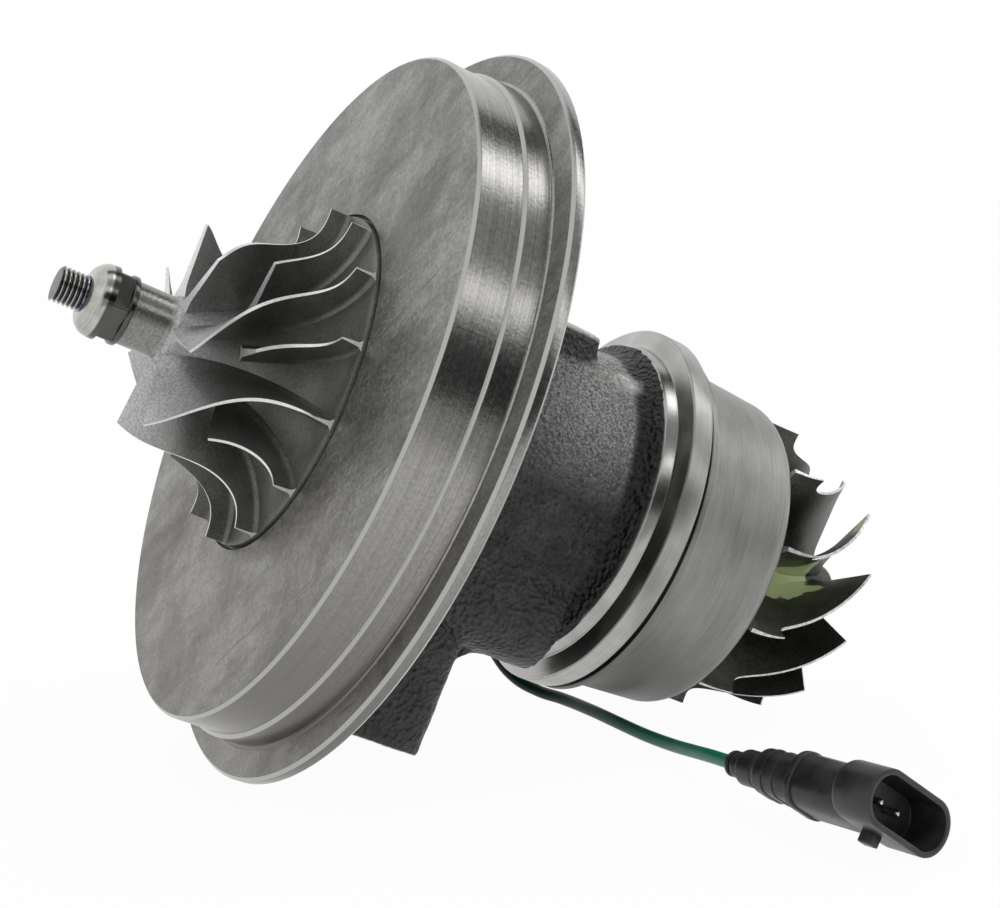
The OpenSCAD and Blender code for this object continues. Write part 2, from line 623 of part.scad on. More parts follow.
// Turbine blade: flow turns from radial to axial, and the camber twists only towards the outlet
turbine_phase = 21.5;
turbine_wrap = 40;
function turbine_hub(u) = [turbine_z + 1.2 + (exducer_z - turbine_z - 1.2) * (1 - cos(90 * u)),
                           mix(turbine_r, turbine_hub_r, sin(90 * u))];
function turbine_tip(u) = [mix(turbine_z + turbine_inlet_w, exducer_z, 1 - cos(90 * u)),
                           mix(turbine_r, exducer_r, pow(sin(90 * u), 0.35))];
function turbine_turn(z) = turbine_wrap * (1 - pow(max(0, (z - turbine_z) / (exducer_z - turbine_z)), 2.7));
function turbine_half(u, v) = mix(1.7, 0.6, v) * (1 - 0.35 * u);
function turbine_point(u, v, side) =
    let (q = mix(turbine_hub(u), turbine_tip(u), v), lean = side * turbine_half(u, max(v, 0)) / q[1] * 57.3)
    at(q[1], turbine_turn(q[0]) + lean, q[0]);
module turbine_blade(n = 13, m = 4) {
    polyhedron(points = [for (side = [1, -1], i = [0:n], j = [0:m])
                   turbine_point(i / n, mix(-0.08, 1, j / m), side)],
               faces = skin_faces(n, m));
}

module turbine_wheel() color("dimgray") lie() {
    spin(concat(
        [[0, weld_z], [hub_seal_r, weld_z]],
        [for (z = [seal_z + 7, seal_z + 12], p = [[0, -0.3], [-2.3, -0.3], [-2.3, ring_w + 0.3], [0, ring_w + 0.3]])
            [hub_seal_r + p[0], z + p[1]]],
        [[hub_seal_r, turbine_z - 1.5], [hub_seal_r + 2, turbine_z]],
        [[turbine_hub(0.25)[1], turbine_z]],
        [for (i = [3:11]) let (q = turbine_hub(i / 12)) [q[1], q[0]]],
        [[turbine_hub_r, exducer_z + 4]],
        arc([turbine_hub_r - 4, turbine_nose_z - 4], 4, 0, 90),
        [[0, turbine_nose_z]]));
    for (i = [0:turbine_blades - 1]) rotate(turbine_phase + 360 / turbine_blades * i) turbine_blade();
}

module speed_sensor() color("black") at_sensor() difference() {
    union() {
        translate([0, 0, -sensor_seat + cavity_r + 1]) cylinder(r = sensor_r, h = sensor_seat - cavity_r);
        translate([0, 0, sensor_tip - sensor_seat]) cylinder(r = sensor_r - 2, h = cavity_r);
        cylinder(r = sensor_r + 4, h = sensor_plate_t);
        translate([sensor_screw_x, 0, 0]) cylinder(r = sensor_screw_r + 4, h = sensor_plate_t);
        translate([0, -sensor_screw_r - 4, 0]) cube([sensor_screw_x, 2 * sensor_screw_r + 8, sensor_plate_t]);
        cylinder(r = sensor_r + 1.5, h = sensor_plate_t + head_h);
        translate([0, 0, outlet_h]) rotate([0, -90, 0]) cylinder(r = 4.6, h = gland_x);
    }
    ring(sensor_r - 1.9, sensor_r + 1, -9, -6.6);
    translate([sensor_screw_x, 0, -1]) cylinder(r = sensor_screw_r + play, h = sensor_plate_t + 2);
}

module sensor_o_ring() color("black") at_sensor() torus(sensor_r - 0.93, 0.94, -7.8);

module sensor_screw() color("silver") at_sensor() translate([sensor_screw_x, 0, 0]) difference() {
    union() {
        translate([0, 0, -10]) cylinder(r = sensor_screw_r, h = 10 + sensor_plate_t);
        translate([0, 0, sensor_plate_t]) cylinder(r = 1.8 * sensor_screw_r, h = 4.5);
    }
    translate([0, 0, sensor_plate_t + 2]) cylinder(r = sensor_screw_r * 0.9, h = 4, $fn = 6);
}

module cable_gland() color("black") at_sensor() translate([-gland_x, 0, outlet_h]) rotate([0, -90, 0]) {
    cylinder(r = 3.8, h = gland_len - 2);
    translate([0, 0, gland_len - 2]) cylinder(r = 3, h = 2);
}

// Lead as one tube, swept along its points with rings square to the run
function run(i) = let (n = len(cord_pts) - 1, d = cord_pts[min(n, i + 1)] - cord_pts[max(0, i - 1)]) d / norm(d);
function cord_ring(i) =
    let (d = i == 0 ? lay([0, 0, 1]) : i == len(cord_pts) - 1 ? plug_run : run(i),
         a = cross(d, [0, 0, 1]) / norm(cross(d, [0, 0, 1])), b = cross(a, d))
    [for (k = [0:cord_sides - 1]) let (w = 360 / cord_sides * k)
        cord_pts[i] + cord_r * (a * cos(w) + b * sin(w))];
module sensor_cord() {
    n = len(cord_pts) - 1;
    s = cord_sides;
    color("darkgreen") polyhedron(
        points = [for (i = [0:n]) each cord_ring(i)],
        faces = concat([[for (k = [0:s - 1]) k]], [[for (k = [0:s - 1]) n * s + s - 1 - k]],
            [for (i = [0:n - 1], k = [0:s - 1]) [i * s + k, i * s + s + k, i * s + (k + 1) % s]],
            [for (i = [0:n - 1], k = [0:s - 1]) [i * s + (k + 1) % s, i * s + s + k, i * s + s + (k + 1) % s]]));
}

module connector_boot() color("black") at_plug() {
    cylinder(r = boot_r - 0.8, h = boot_len);
    for (rib = [[0.3, 1.3], [2.1, 2.8]]) translate([0, 0, rib[0]]) cylinder(r = boot_r, h = rib[1]);
}

// Cap that closes the back of the connector: a round collar that widens into an oval body
module connector_cap() color("black") at_plug() translate([0, 0, boot_len]) difference() {
    union() {
        spin(concat([[0, 0]], arc([plug_collar_r - 1.2, 1.2], 1.2, -90, 0, 4),
            [[plug_collar_r, collar_len - 3.2], [plug_collar_r + 0.8, collar_len], [0, collar_len]]));
        translate([0, 0, collar_len])
            linear_extrude(cap_len - collar_len) polygon(round_rect(cap_w, cap_h, 0.45 * cap_h));
    }
    for (s = [-1, 1]) translate([s * cap_w / 2, 0, cap_len - 4]) cube([1.6, 5, 3], center = true);
}

// Shell: oval body behind, with a wide oval mouth in front that takes the other plug
module connector_shell() color("black") at_plug() difference() {
    union() {
        translate([0, 0, cap_end])
            linear_extrude(skirt_z - cap_end) polygon(round_rect(body_w, body_h, 0.42 * body_h));
        translate([0, 0, cap_end])
            linear_extrude(body_ring_w) polygon(round_rect(body_w + 1, body_h + 1, 0.42 * body_h + 0.5));
        translate([0, 0, skirt_z])
            linear_extrude(plug_len - skirt_z) polygon(round_rect(plug_w, plug_h, plug_corner));
        // lug above the body and latch below the mouth
        translate([-lug_w / 2, body_h / 2 - 1, skirt_z - 4]) cube([lug_w, 2.2, 5]);
        translate([-latch_w / 2, -plug_h / 2 - 2.8, skirt_z + 2.4]) cube([latch_w, 3.6, 4.2]);
    }
    translate([0, 0, skirt_z + plug_wall]) linear_extrude(plug_len)
        polygon(round_rect(plug_w - 2 * plug_wall, plug_h - 2 * plug_wall, plug_corner - plug_wall));
    translate([0, 0, body_floor]) linear_extrude(skirt_z - body_floor + 2 * plug_wall)
        polygon(round_rect(body_w - 2 * plug_wall, body_h - 2 * plug_wall, 0.42 * body_h - plug_wall));
    for (s = [-1, 1]) translate([s * pin_pitch / 2, 0, pin_root - 0.5])
        cylinder(r = pin_r + slip, h = body_floor - pin_root + 1);
}

module connector_pins() color("silver") at_plug() for (s = [-1, 1]) translate([s * pin_pitch / 2, 0, pin_root]) {
    cylinder(r = pin_r, h = pin_end - pin_r - pin_root);
    translate([0, 0, pin_end - pin_r - pin_root]) sphere(r = pin_r);
}

bearing_housing();
compressor_backplate();
backplate_bolts();
backplate_o_ring();
oil_seal_plate();
seal_plate_o_ring();
seal_plate_snap_ring();
oil_deflector();
thrust_bearing();
thrust_screws();
bearing_snap_rings();
journal_bearing_compressor();
journal_bearing_turbine();
compressor_piston_ring();
turbine_piston_rings();
heat_shield();
rotor_shaft();
seal_sleeve();
thrust_collar();
thrust_washer();
compressor_wheel();
compressor_nut();
turbine_wheel();
speed_sensor();
sensor_o_ring();
sensor_screw();
cable_gland();
sensor_cord();
connector_boot();
connector_cap();
connector_shell();
connector_pins();
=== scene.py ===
# Turbocharger cartridge lying on a bench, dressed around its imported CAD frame.
# Every piece is modelled upright on the rotor axis or on the connector's axis, in millimetres,
# and is then laid down in the row frame, where the CAD nodes are.
import json
import math

import bpy
from mathutils import Euler, Matrix, Vector

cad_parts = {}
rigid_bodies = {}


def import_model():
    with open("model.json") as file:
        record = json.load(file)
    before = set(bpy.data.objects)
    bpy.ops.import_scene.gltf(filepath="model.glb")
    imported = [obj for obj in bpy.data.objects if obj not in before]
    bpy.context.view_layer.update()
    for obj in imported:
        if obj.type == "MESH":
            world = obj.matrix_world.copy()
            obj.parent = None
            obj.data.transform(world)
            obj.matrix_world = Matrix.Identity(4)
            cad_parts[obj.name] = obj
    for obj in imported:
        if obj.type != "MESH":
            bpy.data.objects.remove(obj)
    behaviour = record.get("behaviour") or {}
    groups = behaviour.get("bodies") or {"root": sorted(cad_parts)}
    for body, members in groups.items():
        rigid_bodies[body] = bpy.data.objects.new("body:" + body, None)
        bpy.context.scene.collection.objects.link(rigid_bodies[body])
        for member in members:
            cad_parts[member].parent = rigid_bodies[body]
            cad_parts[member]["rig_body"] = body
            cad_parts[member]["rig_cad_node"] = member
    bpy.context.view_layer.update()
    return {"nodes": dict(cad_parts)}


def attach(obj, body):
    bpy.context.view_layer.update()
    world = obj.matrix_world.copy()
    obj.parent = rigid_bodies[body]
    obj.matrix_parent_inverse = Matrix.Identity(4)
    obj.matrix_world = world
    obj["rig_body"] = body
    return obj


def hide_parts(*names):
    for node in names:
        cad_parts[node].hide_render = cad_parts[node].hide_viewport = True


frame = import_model()
nodes = frame["nodes"]
scene = bpy.context.scene
scene.view_settings.view_transform = "Standard"


# Camera
# It stands low on the compressor's side, a little above the rotor axis,
# with the lens and the place that the ellipses of the flange give.
camera_data = bpy.data.cameras.new("camera")
camera_data.lens = 72.79
camera_data.sensor_width = 36.0
camera = bpy.data.objects.new("camera", camera_data)
scene.collection.objects.link(camera)
camera.matrix_world = Matrix((
    (0.91995, 0.05745, -0.38781, -0.181067),
    (-0.39205, 0.13593, -0.90985, -0.526749),
    (0.00044, 0.98905, 0.14757, 0.069910),
    (0.0, 0.0, 0.0, 1.0)))
scene.camera = camera


# Sensor lead
# A thin round cable with a green jacket. It leaves the gland on the far side of the housing,
# drops to the bench, lies under the heat shield and rises a little into the connector's boot.
def material_start(name):
    material = bpy.data.materials.new(name)
    material.use_nodes = True
    tree = material.node_tree
    return material, tree, tree.nodes["Principled BSDF"]


def add_node(tree, kind, inputs=None, **settings):
    made = tree.nodes.new("ShaderNode" + kind)
    for key, value in settings.items():
        setattr(made, key, value)
    for key, value in (inputs or {}).items():
        if isinstance(value, bpy.types.NodeSocket):
            tree.links.new(value, made.inputs[key])
        else:
            made.inputs[key].default_value = value
    return made


def object_place(tree):
    return add_node(tree, "TexCoord").outputs["Object"]


def grain(tree, place, scale, detail=3.0, roughness=0.55):
    return add_node(tree, "TexNoise", {"Vector": place, "Scale": scale, "Detail": detail,
                                       "Roughness": roughness}).outputs["Fac"]


def span(tree, value, low, high):
    """Goes from 0 to 1 as a value goes from low to high."""
    return add_node(tree, "MapRange", {"Value": value, "From Min": low, "From Max": high}).outputs["Result"]


def tint(tree, factor, low, high):
    """Mixes two colours or patterns by a factor."""
    made = add_node(tree, "Mix", data_type="RGBA")
    for slot_name, value in (("Factor", factor), ("A", low), ("B", high)):
        entry = [s for s in made.inputs if s.name == slot_name and s.enabled][0]
        if isinstance(value, bpy.types.NodeSocket):
            tree.links.new(value, entry)
        elif slot_name == "Factor":
            entry.default_value = value
        else:
            entry.default_value = (*value, 1.0)
    return [s for s in made.outputs if s.enabled][0]


def feed(shader, socket, value):
    """Links a pattern to one of the shader's sockets, or sets a plain value on the socket itself."""
    if isinstance(value, bpy.types.NodeSocket):
        shader.id_data.links.new(value, shader.inputs[socket])
    else:
        shader.inputs[socket].default_value = value


def roughen(tree, shader, height, strength, distance):
    bump = add_node(tree, "Bump", {"Height": height, "Strength": strength, "Distance": distance})
    feed(shader, "Normal", bump.outputs["Normal"])


lead_points = [
    (46.049, 57.392, -54.151), (51, 57.1, -56.4), (55.5, 55.5, -62), (58, 52.5, -70.5), (59.2, 48.5, -79),
    (61, 44, -86.5), (64.5, 38, -92.5), (69.3, 31, -95.6), (73.5, 22.4, -96.4), (76.1, 6.9, -96.4),
    (77.6, -8.2, -96.4), (79, -22.1, -96.4), (79.8, -37, -95.4), (78.6, -52.6, -92.9), (77.1, -65, -90.6),
    (75.8, -79.7, -88.3)]
lead_radius = 1.85
lead_curve = bpy.data.curves.new("lead", "CURVE")
lead_curve.dimensions = "3D"
lead_curve.bevel_depth = lead_radius / 1000
lead_curve.bevel_resolution = 6
lead_curve.resolution_u = 10
lead_curve.use_fill_caps = True
run = lead_curve.splines.new("BEZIER")
run.bezier_points.add(len(lead_points) - 1)
for knot, point in zip(run.bezier_points, lead_points):
    knot.co = Vector(point) / 1000
    knot.handle_left_type = knot.handle_right_type = "AUTO"
lead = bpy.data.objects.new("lead", lead_curve)
scene.collection.objects.link(lead)

jacket, tree, shader = material_start("green_jacket")
place = object_place(tree)
mottle = grain(tree, place, 260, 4)
# The jacket is painted nearly black towards the far side, where it runs under the housing: painted shade.
near = add_node(tree, "SeparateXYZ", {0: place}).outputs["Y"]
painted_far_shade = span(tree, near, 0.02, -0.05)
painted_shade_green = tint(tree, mottle, (0.0, 0.020, 0.013), (0.0, 0.034, 0.022))
bright = tint(tree, mottle, (0.0, 0.15, 0.08), (0.0, 0.24, 0.135))
feed(shader, "Base Color", tint(tree, painted_far_shade, painted_shade_green, bright))
feed(shader, "Roughness", 0.38)
feed(shader, "Specular IOR Level", 0.25)
roughen(tree, shader, grain(tree, place, 2400, 2), 0.15, 0.0003)
lead_curve.materials.append(jacket)
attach(lead, "cartridge")
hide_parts("sensor_cord")


# Compressor backplate
# A turned plate of grey metal: a flange that the cover clamps to, a pilot land, a front land and a wide
# face with a recess for the wheel. The face is stained and scuffed, the lands and chamfers shine.
rest_tilt = 24.2
axis_lean = math.radians(90 + rest_tilt)


def start_edit():
    bpy.ops.object.select_all(action="DESELECT")
    bpy.ops.mesh.primitive_plane_add(size=1.0)
    bpy.ops.object.mode_set(mode="EDIT")
    bpy.ops.mesh.select_mode(type="VERT")
    bpy.ops.mesh.select_all(action="SELECT")


def lathe(name, outline, steps=256, bevel=0.0):
    """A piece turned about the upright axis from a closed outline of (radius, height)."""
    start_edit()
    bpy.ops.mesh.merge(type="CENTER")
    piece = bpy.context.object
    piece.name = piece.data.name = name
    at = Vector((0.0, 0.0))
    for i, point in enumerate(list(outline) + [outline[0]]):
        move = Vector(point) - at
        if i == 0:
            bpy.ops.transform.translate(value=(move.x, 0, move.y))
        else:
            bpy.ops.mesh.extrude_region_move(TRANSFORM_OT_translate={"value": (move.x, 0, move.y)})
        at = Vector(point)
    bpy.ops.mesh.select_all(action="SELECT")
    bpy.ops.mesh.remove_doubles(threshold=0.001)
    bpy.ops.mesh.spin(steps=steps, angle=2 * math.pi, center=(0, 0, 0), axis=(0, 0, 1))
    bpy.ops.mesh.select_all(action="SELECT")
    bpy.ops.mesh.remove_doubles(threshold=0.002)
    bpy.ops.mesh.normals_make_consistent(inside=False)
    bpy.ops.object.mode_set(mode="OBJECT")
    if bevel:
        soften(piece, bevel)
    return piece


def shape(piece, kind, **settings):
    """Adds a modifier with its settings and applies it."""
    change = piece.modifiers.new(kind.lower(), kind)
    for key, value in settings.items():
        setattr(change, key, value)
    bpy.context.view_layer.objects.active = piece
    bpy.ops.object.modifier_apply(modifier=change.name)


def soften(piece, width, segments=2, angle=30):
    """Breaks the sharp edges of a piece."""
    shape(piece, "BEVEL", width=width, segments=segments, limit_method="ANGLE",
          angle_limit=math.radians(angle))


def settle(piece, turn, shift=(0, 0, 0), smooth=35):
    """Takes a finished piece from millimetres on its own axis to its place in the row frame."""
    bpy.ops.object.select_all(action="DESELECT")
    piece.select_set(True)
    bpy.context.view_layer.objects.active = piece
    piece.matrix_world = Matrix.Translation(Vector(shift) / 1000) @ turn.to_4x4() @ Matrix.Scale(0.001, 4)
    bpy.ops.object.transform_apply(location=True, rotation=True, scale=True)
    bpy.ops.object.shade_smooth_by_angle(angle=math.radians(smooth))


def arc(centre, radius, first, last, count=8):
    return [(centre[0] + radius * math.cos(math.radians(first + (last - first) * i / count)),
             centre[1] + radius * math.sin(math.radians(first + (last - first) * i / count)))
            for i in range(count + 1)]


lie = Euler((0, axis_lean, 0)).to_matrix()


def ramp(tree, factor, stops):
    """Goes through shades at their places along a factor."""
    made = add_node(tree, "ValToRGB", {"Fac": factor})
    elements = made.color_ramp.elements
    while len(elements) < len(stops):
        elements.new(0.5)
    for element, (place, shade) in zip(elements, stops):
        element.position = place
        element.color = (*shade, 1.0) if isinstance(shade, tuple) else (shade, shade, shade, 1.0)
    return made.outputs["Color"]


def calc(tree, operation, a, b=0.0):
    return add_node(tree, "Math", {0: a, 1: b}, operation=operation).outputs[0]


def times(tree, a, b):
    return calc(tree, "MULTIPLY", a, b)


def inverse(tree, value):
    return calc(tree, "SUBTRACT", 1.0, value)


def vary(tree, floor, pattern, share):
    """A value that rises from its floor with a share of a pattern."""
    return calc(tree, "ADD", floor, times(tree, pattern, share))


def weighted(tree, *shares):
    """The sum of patterns, each times its share."""
    total = times(tree, *shares[0])
    for pattern, share in shares[1:]:
        total = calc(tree, "ADD", total, times(tree, pattern, share))
    return total


def rotor_place(tree):
    """Object coordinates with z along the rotor, then the radius, the height and the ways down and far."""
    place = object_place(tree)
    local = add_node(tree, "Mapping", {"Vector": place, "Rotation": (0, -axis_lean, 0)}).outputs[0]
    parts = add_node(tree, "SeparateXYZ", {0: local})
    flat = add_node(tree, "CombineXYZ", {0: parts.outputs[0], 1: parts.outputs[1]}).outputs[0]
    radius = add_node(tree, "VectorMath", {0: flat}, operation="LENGTH").outputs["Value"]
    return local, radius, parts.outputs[2], (parts.outputs[0], parts.outputs[1])


def turned_lines(tree, radius, height, pitch):
    """Fine tool marks that run around the rotor axis."""
    line = add_node(tree, "CombineXYZ", {0: radius, 1: height}).outputs[0]
    return add_node(tree, "TexNoise", {"Vector": line, "Scale": 1.0 / pitch, "Detail": 2.0},
                    noise_dimensions="2D").outputs["Fac"]


plate = lathe("backplate", [
    (13, -19), (48.4, -19), (49, -19.6), (49, -20.6), (95.1, -20.6), (96, -19.7), (96, -7.9), (96.4, -7.7),
    (97.2, -7.1), (97.2, -0.6), (97.9, -0.5), (98.2, 0), (105.5, 0), (106.4, 0.9), (106.4, 3.2), (105.6, 4),
    (90, 4)] + arc((86, -3.6), 4, 0, -90) + arc((72, -3.6), 4, -90, -180) + [
    (68, 4), (62.02, 4), (62.02, 2), (13, 2)], steps=360, bevel=0.12)
settle(plate, lie)

plate_metal, tree, shader = material_start("stained_plate")
local, radius, height, (down, _) = rotor_place(tree)
streak = add_node(tree, "Mapping", {"Vector": local, "Rotation": (0, 0, math.radians(55)),
                                    "Scale": (2.2, 1.0, 1.0)}, vector_type="TEXTURE").outputs[0]
cloud = add_node(tree, "TexNoise", {"Vector": local, "Scale": 34, "Detail": 6.0, "Roughness": 0.72,
                                    "Distortion": 0.4}).outputs["Fac"]
smear = grain(tree, streak, 130, 4, 0.65)
fleck = grain(tree, local, 1000, 3, 0.6)
wide = grain(tree, local, 14, 3)
pits = ramp(tree, grain(tree, local, 1500, 3), [(0.30, 1.0), (0.40, 0.0)])
tone = weighted(tree, (cloud, 0.36), (smear, 0.20), (wide, 0.16), (fleck, 0.28))
stained = ramp(tree, tone, [(0.41, (0.16, 0.157, 0.15)), (0.5, (0.268, 0.265, 0.255)),
                            (0.58, (0.41, 0.407, 0.393))])
stained = tint(tree, times(tree, pits, 0.5), stained, (0.08, 0.078, 0.073))
lines = turned_lines(tree, radius, height, 0.00022)
land = ramp(tree, weighted(tree, (lines, 0.45), (fleck, 0.4)),
            [(0.30, (0.20, 0.196, 0.186)), (0.56, (0.40, 0.395, 0.38))])
reach = span(tree, radius, 0.094, 0.108)
on_land = ramp(tree, reach, [(0.064, 0.0), (0.084, 1.0), (0.300, 1.0), (0.306, 0.0),
                             (0.812, 0.0), (0.818, 1.0)])
# Towards the bottom the lands are painted darker, which is painted shade; the same mask also lays a warm
# brown patina there.
low_patina_and_shade = span(tree, down, 0.01, 0.09)
warm = times(tree, low_patina_and_shade, times(tree, grain(tree, local, 55, 5), 0.9))
painted_shade_land = tint(tree, low_patina_and_shade, land, (0.075, 0.073, 0.068))
base = tint(tree, on_land, stained, painted_shade_land)
base = tint(tree, times(tree, warm, 0.6), base, (0.22, 0.195, 0.16))
scratch = add_node(tree, "Mapping", {"Vector": local, "Rotation": (0, 0, math.radians(48)),
                                     "Scale": (16.0, 1.0, 1.0)}, vector_type="TEXTURE").outputs[0]
cut = ramp(tree, grain(tree, scratch, 430, 2), [(0.66, 0.0), (0.70, 1.0)])
cut = times(tree, cut, inverse(tree, times(tree, on_land, 0.9)))
base = tint(tree, times(tree, cut, 0.35), base, (0.09, 0.088, 0.083))
chamfer = ramp(tree, reach, [(0.080, 0.0), (0.085, 1.0), (0.137, 1.0), (0.142, 0.0),
                             (0.148, 0.0), (0.153, 1.0), (0.222, 1.0), (0.227, 0.0),
                             (0.820, 0.0), (0.825, 1.0), (0.880, 1.0), (0.885, 0.0)])
feed(shader, "Base Color", tint(tree, chamfer, base, (0.42, 0.417, 0.405)))
feed(shader, "Metallic", inverse(tree, times(tree, chamfer, 0.2)))
rough_face = vary(tree, 0.40, fleck, 0.26)
rough_land = vary(tree, 0.16, fleck, 0.12)
rough = add_node(tree, "Mix", {"Factor": on_land, "A": rough_face, "B": rough_land}).outputs[0]
feed(shader, "Roughness", rough)
coarse = times(tree, fleck, inverse(tree, times(tree, on_land, 0.8)))
relief = vary(tree, coarse, lines, 0.15)
relief = calc(tree, "SUBTRACT", relief, times(tree, cut, 0.5))
roughen(tree, shader, relief, 0.28, 0.0004)
plate.data.materials.append(plate_metal)
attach(plate, "cartridge")
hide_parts("compressor_backplate")


# Bearing housing, cast part
# A black iron casting with a coarse sand skin: bolting flange, round body, oil inlet pad on top, sump and
# drain block below and the sensor's boss on the far side. The solid is cut before its V-band rim, and its
# corners are made soft.
def node_copy(node, name):
    """A merged copy of a CAD node's mesh, in the row frame."""
    bpy.ops.object.select_all(action="DESELECT")
    copy = nodes[node].copy()
    copy.data = nodes[node].data.copy()
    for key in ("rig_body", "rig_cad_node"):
        if key in copy:
            del copy[key]
    copy.parent = None
    copy.matrix_world = Matrix.Identity(4)
    copy.name = copy.data.name = name
    copy.data.materials.clear()
    scene.collection.objects.link(copy)
    copy.select_set(True)
    bpy.context.view_layer.objects.active = copy
    bpy.ops.object.mode_set(mode="EDIT")
    bpy.ops.mesh.select_all(action="SELECT")
    bpy.ops.mesh.remove_doubles(threshold=0.000002)
    bpy.ops.object.mode_set(mode="OBJECT")
    return copy


def cut_off(at, axis, keep_below):
    """Cuts the active piece across an axis and closes the cut."""
    bpy.ops.object.mode_set(mode="EDIT")
    bpy.ops.mesh.select_all(action="SELECT")
    bpy.ops.mesh.bisect(plane_co=at, plane_no=axis, use_fill=True, clear_inner=not keep_below,
                        clear_outer=keep_below)
    bpy.ops.object.mode_set(mode="OBJECT")


def join(pieces):
    """Makes one piece of several, with the first one's name."""
    bpy.ops.object.select_all(action="DESELECT")
    for piece in pieces:
        piece.select_set(True)
    bpy.context.view_layer.objects.active = pieces[0]
    bpy.ops.object.join()
    return pieces[0]


def distance_from(tree, place, spot):
    return add_node(tree, "VectorMath", {0: place, 1: spot}, operation="DISTANCE").outputs["Value"]


rim_front = 71.0
along = lie @ Vector((0, 0, 1))
casting = node_copy("bearing_housing", "housing_casting")
cut_off(along * rim_front / 1000, along, keep_below=True)
flare = lathe("housing_flare", [(40.6, 60), (42, 60)] + arc((48.4, 65), 6.4, 180, 96, 12) +
              [(47.7, 71.6), (40.6, 71.6)], steps=128)
settle(flare, lie)
casting = join([casting, flare])
shape(casting, "REMESH", mode="VOXEL", voxel_size=0.00104)
shape(casting, "SMOOTH", factor=0.5, iterations=5)
pad_x, pad_root_x, pad_half_width, fillet_depth = -43.2, -18, 38, 3
pad_front, pad_rear = 20, 60
foot = casting.vertex_groups.new(name="pad_foot")
upright = lie.inverted() * 1000
for vertex in casting.data.vertices:
    at = upright @ vertex.co
    if pad_x < at.x < pad_root_x and abs(at.y) < pad_half_width and pad_front < at.z < pad_rear:
        foot.add([vertex.index], min(1.0, (at.x - pad_x) / fillet_depth), "REPLACE")
shape(casting, "SMOOTH", factor=0.5, iterations=90, vertex_group=foot.name)
lumps = bpy.data.textures.new("lumps", "CLOUDS")
lumps.noise_scale = 0.004
lumps.noise_depth = 2
shape(casting, "DISPLACE", texture=lumps, texture_coords="LOCAL", strength=0.0005, mid_level=0.5)
bpy.ops.object.shade_smooth()

cast_skin, tree, shader = material_start("black_casting")
local, radius, height, (down, _) = rotor_place(tree)
pebble = add_node(tree, "TexVoronoi", {"Vector": local, "Scale": 640, "Smoothness": 0.35},
                  feature="SMOOTH_F1").outputs["Distance"]
sandy = grain(tree, local, 900, 4, 0.6)
broad = grain(tree, local, 120, 4)
dust = ramp(tree, weighted(tree, (broad, 0.5), (sandy, 0.5)),
            [(0.35, (0.018, 0.018, 0.018)), (0.52, (0.038, 0.038, 0.0375)), (0.68, (0.074, 0.0735, 0.072))])
pad_top = span(tree, down, -0.0419, -0.0427)
before_rim = span(tree, height, 0.0560, 0.0550)
past_flange = span(tree, height, 0.022, 0.024)
pad_top = times(tree, pad_top, times(tree, before_rim, past_flange))
pad_foot = span(tree, down, 0.0814, 0.0818)
from_spot = distance_from(tree, local, (-0.0352, -0.0236, 0.0630))
ground = ramp(tree, vary(tree, from_spot, broad, 0.004), [(0.0054, 1.0), (0.0060, 0.0)])
milled = calc(tree, "MAXIMUM", calc(tree, "MAXIMUM", pad_top, pad_foot), ground)
# Painted sheen: on the upper side of the body towards the rim the colour is lightened to grey and made partly
# metallic, broken into specks by a fine noise.
upper = span(tree, down, 0.001, -0.022)
rear = span(tree, height, 0.020, 0.050)
shade = span(tree, height, 0.0665, 0.0645)
sheen_specks = ramp(tree, grain(tree, local, 1700, 2, 0.5), [(0.40, 0.22), (0.64, 1.0)])
on_body = span(tree, radius, 0.0446, 0.0432)
painted_sheen = times(tree, times(tree, upper, rear), times(tree, shade, on_body))
painted_sheen = times(tree, painted_sheen, sheen_specks)
base = tint(tree, painted_sheen, dust, (0.50, 0.50, 0.49))
# Past 66.5 mm along the axis the casting is painted nearly black: painted shade in the gap before the rim.
base = tint(tree, shade, (0.010, 0.010, 0.010), base)
feed(shader, "Base Color", tint(tree, milled, base, (0.50, 0.50, 0.49)))
feed(shader, "Metallic", calc(tree, "MAXIMUM", milled, times(tree, painted_sheen, 0.6)))
feed(shader, "Roughness", vary(tree, 0.24, sandy, 0.26))
feed(shader, "Specular IOR Level", 0.5)
skin = weighted(tree, (pebble, 1.2), (sandy, 0.9))
skin = times(tree, skin, inverse(tree, milled))
roughen(tree, shader, skin, 1.0, 0.0013)
casting.data.materials.append(cast_skin)
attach(casting, "cartridge")
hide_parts("bearing_housing")


# Bearing housing, V-band rim
# The turned end of the same casting: a bead, a thin groove, a sloped flank and a cylindrical rim that a
# V-band clamp grips, with a step behind it that centres the heat shield.
rim = lathe("vband_rim", [
    (36, 69.2), (45.2, 69.2), (46.2, 70.7), (47.3, 71.3), (47.75, 71.9), (48.4, 74.5), (48.45, 74.8),
    (48.8, 74.95), (53.5, 76.0), (54.2, 76.6), (54.2, 82.2), (53.7, 82.8), (48.4, 82.8), (48.4, 84.4),
    (32, 84.4)] + arc((32, 92.4), 8, -90, -180) + [
    (24, 108.8), (15.5, 108.8), (15.5, 90.8), (18, 90.8), (18, 78), (30, 78)], steps=256, bevel=0.1)
settle(rim, lie)

rim_metal, tree, shader = material_start("turned_rim")
local, radius, height, _ = rotor_place(tree)
lines = turned_lines(tree, radius, height, 0.00018)
blotch = grain(tree, local, 75, 5)
fleck = grain(tree, local, 900, 3)
tone = weighted(tree, (lines, 0.4), (blotch, 0.6))
feed(shader, "Base Color", ramp(tree, tone, [(0.34, (0.30, 0.297, 0.287)), (0.62, (0.50, 0.495, 0.48))]))
feed(shader, "Metallic", 1.0)
outer = span(tree, radius, 0.0535, 0.0541)
gloss = vary(tree, 0.13, blotch, 0.16)
feed(shader, "Roughness", vary(tree, gloss, outer, 0.16))
roughen(tree, shader, vary(tree, lines, fleck, 0.4), 0.12, 0.00025)
rim.data.materials.append(rim_metal)
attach(rim, "cartridge")
